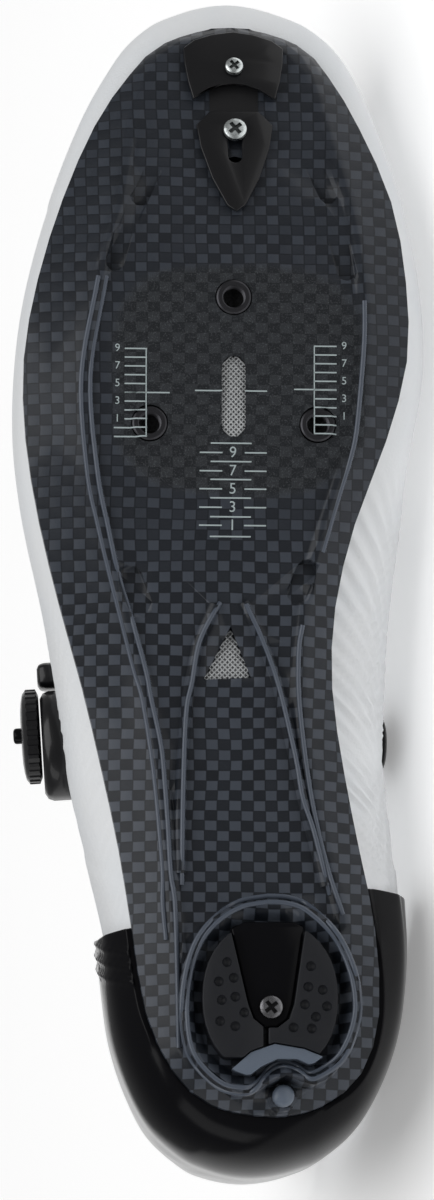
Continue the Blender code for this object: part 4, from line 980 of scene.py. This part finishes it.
def numeral(text, x, y, height):
    """A numeral as a flat mesh, upright to someone who looks at the sole with the toe up."""
    curve = bpy.data.curves.new("numeral", "FONT")
    curve.body = text
    curve.size = height
    curve.align_x = curve.align_y = "CENTER"
    bm = bmesh_of(curve)
    matrix = Matrix.Translation((x * MM, y * MM, 0)) @ Matrix.Diagonal((-1, 1, 1, 1))
    bmesh.ops.transform(bm, matrix=matrix, verts=bm.verts)
    bmesh.ops.triangulate(bm, faces=bm.faces)
    return bm


class SHOE_OT_marks(bpy.types.Operator):
    """Print the cleat scales and their numerals on the sole"""

    bl_idname = "shoe.marks"
    bl_label = "Scale marks"

    def execute(self, context):
        sizes = context.scene.shoe_sizes
        tree = tree_of("outsole")
        bm = bmesh.new()
        for x0, x1, y in tick_table():
            strip(bm, x0, y, x1, y, sizes.mark_width)
        for x, y0, y1 in UPRIGHTS:
            strip(bm, x, y0, x, y1, sizes.mark_width * 0.8)
        for i, text in enumerate("97531"):
            for x, top, step, height in COLUMNS:
                absorb(bm, numeral(text, x, top - step * i, height))
        on_sole(bm, tree, sizes.mark_lift)
        standing(bm)
        for face in bm.faces:
            if (STAND.to_3x3() @ face.normal).z > 0:
                face.normal_flip()
        add("scale_marks", bm, "print", shade=False)
        return {"FINISHED"}


# Vents


def lattice(outline_node, pitch, strand):
    """Two crossing layers of strands over a vent's panel, cut to its outline."""
    panel = node_mesh(outline_node)
    panel_tree = BVHTree.FromBMesh(panel)
    corners = [STAND @ v.co for v in panel.verts]
    panel.free()
    low = Vector([min(c[i] for c in corners) for i in range(3)])
    high = Vector([max(c[i] for c in corners) for i in range(3)])
    bm = bmesh.new()
    size = max(high.x - low.x, high.y - low.y) * 1.5
    steps = int(size / pitch)
    bmesh.ops.create_grid(bm, x_segments=steps, y_segments=steps, size=size / 2)
    middle = (low + high) / 2
    turn = Matrix.Translation((middle.x, middle.y, low.z - strand)) @ Matrix.Rotation(radians(45), 4, "Z")
    bmesh.ops.transform(bm, matrix=turn, verts=bm.verts)
    gone = []
    for face in bm.faces:
        centre = face.calc_center_median()
        if ray_on(panel_tree, (centre.x, centre.y, low.z - 0.01), (0, 0, 1)) is None:
            gone.append(face)
    bmesh.ops.delete(bm, geom=gone, context="FACES")
    for v in bm.verts:
        v.co.z += strand * 0.5 * sin(v.co.x / pitch * 2.2) * cos(v.co.y / pitch * 2.2)
    bmesh.ops.wireframe(
        bm, faces=bm.faces, thickness=strand, use_replace=True, use_boundary=True, use_even_offset=True
    )
    return standing(bm)


class SHOE_OT_vents(bpy.types.Operator):
    """Weave the meshes of the ball vent and the shank vent"""

    bl_idname = "shoe.vents"
    bl_label = "Vent meshes"

    def execute(self, context):
        sizes = context.scene.shoe_sizes
        for name in ("ball_mesh", "shank_mesh"):
            set_finish(name, "vent cloth")
            bm = lattice(name, sizes.mesh_pitch, sizes.mesh_pitch * 0.42)
            add(f"{name}_weave", bm, "vent strand", smooth=60)
        return {"FINISHED"}


def set_finish(node, finish):
    """Give a CAD node that keeps its shape a better material."""
    for slot in frame["nodes"][node].material_slots:
        slot.material = material(finish)


# Hard pieces


def smoothed_node(node, name, finish, slot_name, width, segments=2, angle=35, body=BODY, smooth=35):
    """A CAD node's shape again, with its flat faces whole and its sharp edges rounded."""
    bm = node_mesh(node)
    bmesh.ops.dissolve_limit(bm, angle_limit=radians(1), verts=bm.verts, edges=bm.edges)
    thing = add(name, bm, finish, [node], body, smooth)
    change = thing.modifiers.new("round", "BEVEL")
    change.width = width
    change.segments = segments
    change.limit_method = "ANGLE"
    change.angle_limit = radians(angle)
    shaded(applied(thing), smooth)
    return thing


def cross_recess(radius, depth, matrix):
    """A cross-shaped drive, as a solid to cut out of a screw head."""
    long, short = radius * 0.62, radius * 0.17
    corners = []
    for a in spaced(0, 1.5 * pi, 3):
        for x, y in ((short, short), (short, long), (-short, long)):
            corners.append((x * cos(a) - y * sin(a), x * sin(a) + y * cos(a)))
    bm = bmesh.new()
    face = bm.faces.new([bm.verts.new((x, y, -depth)) for x, y in corners])
    raised = bmesh.ops.extrude_face_region(bm, geom=[face])
    moved = [v for v in raised["geom"] if isinstance(v, bmesh.types.BMVert)]
    bmesh.ops.translate(bm, vec=(0, 0, depth * 2), verts=moved)
    bmesh.ops.recalc_face_normals(bm, faces=bm.faces)
    bmesh.ops.transform(bm, matrix=matrix @ Matrix.Rotation(radians(38), 4, "Z"), verts=bm.verts)
    return bm


SCREWS = [
    ("vent_screw", 0.00285, 0.0013, "bright"),
    ("toe_plate_screw", 0.0022, 0.0013, "bright"),
    ("heel_screw", 0.0028, 0.0009, "dark"),
]


class SHOE_OT_screws(bpy.types.Operator):
    """Make the three cross-head screws"""

    bl_idname = "shoe.screws"
    bl_label = "Screws"

    def execute(self, context):
        for node, radius, height, tone in SCREWS:
            axis = outward_axis(node)
            if (STAND.to_3x3() @ axis).z > 0:
                axis = -axis
            crown = reach_along(node, axis)[2]
            centre = centre_of(node)
            if node == "vent_screw":
                points = [v.co for v in frame["nodes"][node].data.vertices]
                points = [point for point in points if point.dot(axis) > crown - height * 0.7]
                centre = sum(points, Vector()) / len(points)
            top = at_height(centre, axis, crown)
            r, h = radius, height
            profile = [(0, -h), (r, -h), (r, -h * 0.55), (r * 0.94, -h * 0.25)]
            profile += [(r * 0.78, -h * 0.04), (r * 0.62, 0.0), (0, 0.0)]
            bm = spun(profile, 40, top, axis)
            colour = (0.66, 0.70, 0.70) if tone == "bright" else (0.20, 0.20, 0.21)
            finish = turned_steel(f"{node} steel", colour, top, axis, r * 0.65)
            thing = add(f"{node}_head", bm, finish, [node], smooth=30)
            cut_out(thing, cross_recess(r, h * 0.45, framed(top, axis)), 30)
        return {"FINISHED"}


# The cleat inserts' radii at the bore, the thread's crests, the top rim and the outside, and the chamfer
INSERT_BORE = 0.0028
INSERT_CREST = 0.00252
INSERT_RIM = 0.0037
INSERT_RADIUS = 0.0041
INSERT_CHAMFER = 0.0003
INSERT_TURNS = 10


class SHOE_OT_inserts(bpy.types.Operator):
    """Thread the three cleat inserts"""

    bl_idname = "shoe.inserts"
    bl_label = "Cleat inserts"

    def execute(self, context):
        axis = SHOE.to_3x3() @ Vector((0, 0, -1))
        for side in ("front", "outer", "inner"):
            node = f"cleat_insert_{side}"
            centre, low, high = reach_along(node, axis)
            depth = high - low
            profile = [(INSERT_BORE, 0.0), (INSERT_RIM, 0.0), (INSERT_RADIUS, -INSERT_CHAMFER)]
            profile += [(INSERT_RADIUS, -depth), (INSERT_BORE, -depth)]
            for i in range(INSERT_TURNS):
                level = lerp(-depth, -INSERT_CHAMFER, (i + 0.5) / INSERT_TURNS)
                profile += [(INSERT_CREST, level), (INSERT_BORE, level + depth / INSERT_TURNS * 0.4)]
            profile.append((INSERT_BORE, 0.0))
            bm = spun(profile, 48, at_height(centre, axis, high), axis)
            add(f"{node}_threaded", bm, "dark steel", [node], smooth=30)
        return {"FINISHED"}


# The thin bed that the shutter slides over, in millimetres across and along the standing shoe
BED_HALF_WIDTH = 5.8
BED_MIDDLE = -4.9
BED_FROM, BED_TO = 250.0, 263.0
# Its thickness in metres
BED_HEIGHT = 0.00014


def toe_bed():
    """A thin panel on the sole between the toe plate and the shutter."""
    bm = bmesh.new()
    bmesh.ops.create_grid(bm, x_segments=4, y_segments=10, size=0.5)
    width, length = 2 * BED_HALF_WIDTH * MM, (BED_TO - BED_FROM) * MM
    middle = Vector((BED_MIDDLE * MM, (BED_FROM + BED_TO) / 2 * MM, 0))
    matrix = Matrix.Translation(middle) @ Matrix.Diagonal((width, length, 1, 1))
    bmesh.ops.transform(bm, matrix=matrix, verts=bm.verts)
    on_sole(bm, tree_of("outsole"), BED_HEIGHT)
    bmesh.ops.reverse_faces(bm, faces=bm.faces)
    base = bmesh.ops.extrude_face_region(bm, geom=bm.faces[:])
    for v in base["geom"]:
        if isinstance(v, bmesh.types.BMVert):
            v.co.z += BED_HEIGHT * 0.8
    bmesh.ops.recalc_face_normals(bm, faces=bm.faces)
    return standing(bm)


class SHOE_OT_toe_vent(bpy.types.Operator):
    """Finish the toe plate and the sliding shutter"""

    bl_idname = "shoe.toe_vent"
    bl_label = "Toe vent"

    def execute(self, context):
        edge = context.scene.shoe_sizes.edge
        look = ("satin black", "black_gloss")
        add("toe_bed", toe_bed(), "matt black", smooth=30)
        smoothed_node("toe_plate", "toe_plate_moulding", *look, edge * 2.4, 3)
        smoothed_node("vent_slider", "vent_shutter", *look, edge * 2.0, 3, body=VENT_BODY)
        return {"FINISHED"}


# Dimples in the heel pads: places in millimetres across and along the standing shoe
DIMPLES = {
    "heel_pad_outer": [
        (-4.0, 43.9), (-4.4, 39.4), (-6.5, 35.7), (-0.8, 33.6),
        (-4.4, 32.4), (-1.2, 38.6), (-0.5, 43.0), (-2.4, 47.6),
    ],
    "heel_pad_inner": [
        (-22.2, 46.8), (-21.6, 41.9), (-25.0, 41.2), (-20.8, 37.7),
        (-26.0, 37.3), (-23.4, 34.8), (-22.4, 32.0), (-18.1, 32.2),
    ],
}
DIMPLE_RADIUS = 0.00125


class SHOE_OT_heel_pad(bpy.types.Operator):
    """Dimple the heel pads and finish the wedge, the bridge and the pin"""

    bl_idname = "shoe.heel_pad"
    bl_label = "Heel pad"

    def execute(self, context):
        sizes = context.scene.shoe_sizes
        for node in ("heel_pad_outer", "heel_pad_inner"):
            thing = smoothed_node(node, f"{node}_rubber", "pad rubber", "black_rubber", sizes.edge, 2)
            low = min((STAND @ v.co).z for v in thing.data.vertices)
            tool_mesh = bmesh.new()
            for x, y in DIMPLES[node]:
                made = bmesh.ops.create_uvsphere(tool_mesh, u_segments=14, v_segments=8, radius=DIMPLE_RADIUS)
                place = SHOE @ Matrix.Translation((x * MM, y * MM, low - 0.0002))
                bmesh.ops.transform(tool_mesh, matrix=place, verts=made["verts"])
            cut_out(thing, tool_mesh, 35)
        smoothed_node("heel_wedge", "heel_wedge_moulding", "gloss black", "black_matte", sizes.edge * 1.5, 3)
        smoothed_node("heel_bridge", "heel_bridge_moulding", "blue grey", "grey_plastic", sizes.edge * 1.5, 3)
        add("heel_pin_dome", node_mesh("heel_pin"), "blue grey", ["heel_pin"], smooth=50)
        return {"FINISHED"}


class SHOE_OT_counter(bpy.types.Operator):
    """Mould the glossy heel cup with its ribs and the step round its lower edge"""

    bl_idname = "shoe.counter"
    bl_label = "Heel cup"

    def execute(self, context):
        bm = node_mesh("heel_counter")
        quads_from_triangles(bm)
        for edge in bm.edges:
            if len(edge.link_faces) == 2 and edge.calc_face_angle() > radians(50):
                edge.smooth = False
        crease = bm.edges.layers.float.new("crease_edge")
        for edge in bm.edges:
            if not edge.smooth:
                edge[crease] = 0.6
        thing = add("heel_cup", bm, "gloss black", ["heel_counter"])
        through_corners(thing, 4)
        mesh = thing.data
        turn = STAND.to_3x3()
        normals = [v.normal.copy() for v in mesh.vertices]
        for v, normal in zip(mesh.vertices, normals):
            point = STAND @ v.co
            outwards = (turn @ normal).dot(point - Vector((-0.012, 0.045, point.z)))
            v.co += normal * cup_relief(point) * ease(0.0, 0.004, outwards)
        mesh.shade_smooth()
        return {"FINISHED"}


def cup_relief(point):
    """Ribs at the cup's front ends and a step round its lower edge."""
    x, y, z = point
    outer = x > -0.013
    front = 0.052 if outer else 0.066
    lean = 0.25 * (z - 0.012)
    place = y - front - lean
    ribs = 0.0
    if outer:
        for centre in (-0.0015, -0.0050, -0.0085):
            ribs += 0.0006 * max(0.0, 1 - abs(place - centre) / 0.0013)
    step = 0.0006 * ease(0.0005, -0.0005, z - 0.0125 - 0.06 * y)
    return ribs + step


# Dial, anchor, guides and wire


KNOB_RADIUS = 0.0114
BUTTON_RADIUS = 0.0019
# How far each tooth's top is drawn in from its sides, and how far it stands out
TOOTH_INSET = 0.00022
TOOTH_HEIGHT = 0.00032


class SHOE_OT_dial(bpy.types.Operator):
    """Make the lace dial with its toothed knob, button, base and outlet"""

    bl_idname = "shoe.dial"
    bl_label = "Lace dial"

    def execute(self, context):
        sizes = context.scene.shoe_sizes
        axis = outward_axis("dial_knob")
        if axis.dot(centre_of("dial_button") - centre_of("dial_knob")) < 0:
            axis = -axis
        middle, low, high = reach_along("dial_knob", axis)
        seat = at_height(middle, axis, low)
        r, h = KNOB_RADIUS, high - low
        profile = [(0, 0), (r * 0.86, 0), (r * 0.97, h * 0.12), (r * 0.97, h * 0.70), (r * 0.90, h * 0.84)]
        profile += [(r * 0.74, h * 0.93), (r * 0.55, h * 0.985), (r * 0.40, h), (r * 0.30, h * 0.94)]
        profile.append((0, h * 0.92))
        bm = spun(profile, sizes.grip_teeth * 2, seat, axis)
        side = [
            f for f in bm.faces
            if abs(f.normal.dot(axis)) < 0.3 and (f.calc_center_median() - seat).cross(axis).length > r * 0.9
        ]
        side.sort(key=lambda f: turn_about(f.calc_center_median() - seat, axis))
        bmesh.ops.inset_individual(bm, faces=side[::2], thickness=TOOTH_INSET, depth=TOOTH_HEIGHT)
        add("dial_knob_grip", bm, "satin black", ["dial_knob"], smooth=40)

        _, low, high = reach_along("dial_button", axis)
        seat = at_height(centre_of("dial_button"), axis, low)
        r, h = BUTTON_RADIUS, high - low
        profile = [(0, -0.0006), (r, -0.0006), (r, h * 0.55), (r * 0.92, h * 0.8)]
        profile += [(r * 0.7, h * 0.96), (r * 0.35, h), (0, h)]
        add("dial_button_cap", spun(profile, 32, seat, axis), "gloss black", ["dial_button"])

        look = ("satin black", "black_matte")
        smoothed_node("dial_base", "dial_base_moulding", *look, sizes.edge, 2, 40, smooth=40)
        smoothed_node("dial_guide", "dial_guide_moulding", *look, sizes.edge * 1.5, 3, 40, smooth=40)
        return {"FINISHED"}


def turn_about(offset, axis):
    """The angle of an offset about an axis."""
    matrix = framed((0, 0, 0), axis).to_3x3().transposed()
    local = matrix @ offset
    return atan2(local.y, local.x)


def bar_points(node, start, end):
    """The middle line of one of the wire's bars, from one place towards another."""
    along = (Vector(end) - Vector(start)).normalized()
    rings = {}
    for v in frame["nodes"][node].data.vertices:
        rings.setdefault(round((v.co - start).dot(along) / 0.0015), []).append(v.co)
    return [sum(rings[key], Vector()) / len(rings[key]) for key in sorted(rings)]


def over_surface(a, b, tree, lift, steps=7):
    """Points between two places, laid over a surface."""
    points = []
    for share in spaced(0, 1, steps)[1:-1]:
        place, normal, _, _ = tree.find_nearest(a.lerp(b, share))
        points.append(place + normal * lift)
    return points


def smooth_path(points, parts=5):
    """A denser path through the same points."""
    ends = [points[0] * 2 - points[1], *points, points[-1] * 2 - points[-2]]
    path = []
    for near in zip(ends, ends[1:], ends[2:], ends[3:]):
        path += [curve_at(*near, i / parts) for i in range(parts)]
    return path + [points[-1]]


def tube(name, points, radius, finish, replaced):
    """A round wire along points."""
    curve = bpy.data.curves.new(name, "CURVE")
    curve.dimensions = "3D"
    curve.bevel_depth = radius
    curve.bevel_resolution = 3
    curve.use_fill_caps = True
    spline = curve.splines.new("POLY")
    spline.points.add(len(points) - 1)
    for place, point in zip(spline.points, points):
        place.co = (*point, 1)
    bm = bmesh_of(curve)
    bmesh.ops.remove_doubles(bm, verts=bm.verts, dist=1e-7)
    bmesh.ops.recalc_face_normals(bm, faces=bm.faces)
    return add(name, bm, finish, replaced, smooth=60)


WIRE_RADIUS = 0.0006


def wire_path(tree):
    """One wire: out of the dial, then to and fro through the guides of both sides."""
    outer = [centre_of(f"guide_outer_{i}") for i in (1, 2, 3)]
    inner = [centre_of(f"guide_inner_{i}") for i in (1, 2, 3)]
    outlet = centre_of("dial_guide")
    path = [outlet] + bar_points("lace_lead", outlet, outer[0]) + [outer[0]]
    path += bar_points("lace_bar_1", outer[0], inner[0]) + [inner[0]]
    path += over_surface(inner[0], inner[1], tree, 0.0010) + [inner[1]]
    path += bar_points("lace_bar_2", inner[1], outer[1]) + [outer[1]]
    path += over_surface(outer[1], outer[2], tree, 0.0010) + [outer[2]]
    path += bar_points("lace_bar_3", outer[2], inner[2]) + [inner[2]]
    return smooth_path(path)


class SHOE_OT_lacing(bpy.types.Operator):
    """Finish the guides and the anchor, and run the wire through them"""

    bl_idname = "shoe.lacing"
    bl_label = "Lacing"

    def execute(self, context):
        edge = context.scene.shoe_sizes.edge
        for side in ("outer", "inner"):
            for i in (1, 2, 3):
                node = f"guide_{side}_{i}"
                look = ("satin black", "black_matte")
                smoothed_node(node, f"{node}_moulding", *look, edge, 3, 40, smooth=40)
        bm = node_mesh("inner_anchor")
        add("inner_anchor_cap", bm, "gloss black", ["inner_anchor"], smooth=60)
        bars = ["lace_lead", "lace_bar_1", "lace_bar_2", "lace_bar_3"]
        tube("lace_wire", wire_path(shell_tree()), WIRE_RADIUS, "wire", bars)
        return {"FINISHED"}


class SHOE_OT_tongue(bpy.types.Operator):
    """Smooth the tongue and dress it in its cloth"""

    bl_idname = "shoe.tongue"
    bl_label = "Tongue"

    def execute(self, context):
        bm = node_mesh("tongue")
        quads_from_triangles(bm)
        thing = add("tongue_pad", bm, "tongue cloth", ["tongue"])
        subdivided(thing, 2)
        applied(thing)
        thing.data.shade_smooth()
        return {"FINISHED"}


# Stage


def area_light(name, place, target, size, power):
    data = bpy.data.lights.new(name, "AREA")
    data.shape = "RECTANGLE"
    data.size, data.size_y = size
    data.energy = power
    thing = bpy.data.objects.new(name, data)
    bpy.context.scene.collection.objects.link(thing)
    thing.location = place
    thing.rotation_mode = "QUATERNION"
    thing.rotation_quaternion = (Vector(target) - Vector(place)).to_track_quat("-Z", "Y")


class SHOE_OT_stage(bpy.types.Operator):
    """Set the camera, the pale floor and the soft lights"""

    bl_idname = "shoe.stage"
    bl_label = "Stage"

    def execute(self, context):
        stage = context.scene.shoe_stage
        turn = SHOE.to_3x3()
        back, up = VIEW_BACK, VIEW_UP
        right = up.cross(back)
        target = SHOE @ VIEW_MIDDLE
        data = bpy.data.cameras.new("camera")
        data.sensor_fit = "AUTO"
        data.sensor_width = 36.0
        data.lens = data.sensor_width * stage.distance / stage.frame_height
        data.clip_start, data.clip_end = 0.1, 50.0
        camera = bpy.data.objects.new("camera", data)
        context.scene.collection.objects.link(camera)
        basis = Matrix((turn @ right, turn @ up, turn @ back)).transposed()
        camera.matrix_world = Matrix.Translation(target + turn @ back * stage.distance) @ basis.to_4x4()
        context.scene.camera = camera

        bm = bmesh.new()
        bmesh.ops.create_grid(bm, x_segments=8, y_segments=8, size=12.0)
        bmesh.ops.translate(bm, vec=(0, 0, -0.00002), verts=bm.verts)
        mesh = bpy.data.meshes.new("floor")
        bm.to_mesh(mesh)
        bm.free()
        ground = bpy.data.objects.new("floor", mesh)
        context.scene.collection.objects.link(ground)
        net = Net("floor paper")
        place = net.node("ShaderNodeTexCoord", out="Object")
        cloud = net.noise(place, 3.0, 2.0)
        low = tuple(c * 0.985 for c in stage.floor)
        net.surface(
            Base_Color=net.blend(cloud, low, tuple(stage.floor)),
            Roughness=0.9,
            Specular_IOR_Level=0.2,
            Emission_Color=(1.0, 1.0, 1.0),
            Emission_Strength=stage.glow,
        )
        mesh.materials.append(net.material)
        mesh.shade_smooth()

        world = bpy.data.worlds.new("sky")
        context.scene.world = world
        world.use_nodes = True
        nodes, links = world.node_tree.nodes, world.node_tree.links
        back_light = nodes["Background"]
        back_light.inputs["Color"].default_value = (1, 1, 1, 1)
        seen = nodes.new("ShaderNodeLightPath")
        strength = nodes.new("ShaderNodeMapRange")
        strength.inputs["To Min"].default_value = stage.sky
        links.new(seen.outputs["Is Camera Ray"], strength.inputs["Value"])
        links.new(strength.outputs[0], back_light.inputs["Strength"])
        context.scene.view_settings.view_transform = "Standard"
        focus = SHOE @ Vector((0.0, 0.14, 0.02))
        area_light("key", focus + Vector((0.30, 0.20, 1.5)), focus, (1.7, 1.7), stage.key)
        area_light("heel light", focus + Vector((0.25, -1.2, 0.55)), focus, (0.5, 0.9), stage.key * 0.10)
        return {"FINISHED"}


OPERATORS = (
    SHOE_OT_stage,
    SHOE_OT_upper,
    SHOE_OT_seams,
    SHOE_OT_tongue,
    SHOE_OT_sole,
    SHOE_OT_raised_lines,
    SHOE_OT_marks,
    SHOE_OT_vents,
    SHOE_OT_inserts,
    SHOE_OT_toe_vent,
    SHOE_OT_screws,
    SHOE_OT_heel_pad,
    SHOE_OT_counter,
    SHOE_OT_dial,
    SHOE_OT_lacing,
)


class SHOE_PT_panel(bpy.types.Panel):
    """Lists the shoe's pieces and settings"""

    bl_idname = "SHOE_PT_panel"
    bl_label = "Road Cycling Shoe"
    bl_space_type = "VIEW_3D"
    bl_region_type = "UI"
    bl_category = "Shoe"

    def draw(self, context):
        layout = self.layout
        scene = context.scene
        for group in (scene.shoe_sizes, scene.shoe_colours, scene.shoe_stage):
            box = layout.box()
            for name in group.__annotations__:
                box.prop(group, name)
        for operator in OPERATORS:
            layout.operator(operator.bl_idname)


GROUPS = {"shoe_sizes": ShoeSizes, "shoe_colours": ShoeColours, "shoe_stage": ShoeStage}


def register():
    for name, group in GROUPS.items():
        bpy.utils.register_class(group)
        setattr(bpy.types.Scene, name, PointerProperty(type=group))
    for operator in OPERATORS:
        bpy.utils.register_class(operator)
    bpy.utils.register_class(SHOE_PT_panel)


def unregister():
    bpy.utils.unregister_class(SHOE_PT_panel)
    for operator in reversed(OPERATORS):
        bpy.utils.unregister_class(operator)
    for name, group in GROUPS.items():
        delattr(bpy.types.Scene, name)
        bpy.utils.unregister_class(group)


def main():
    register()
    for operator in OPERATORS:
        getattr(bpy.ops.shoe, operator.bl_idname.split(".")[1])()


if __name__ == "__main__":
    main()
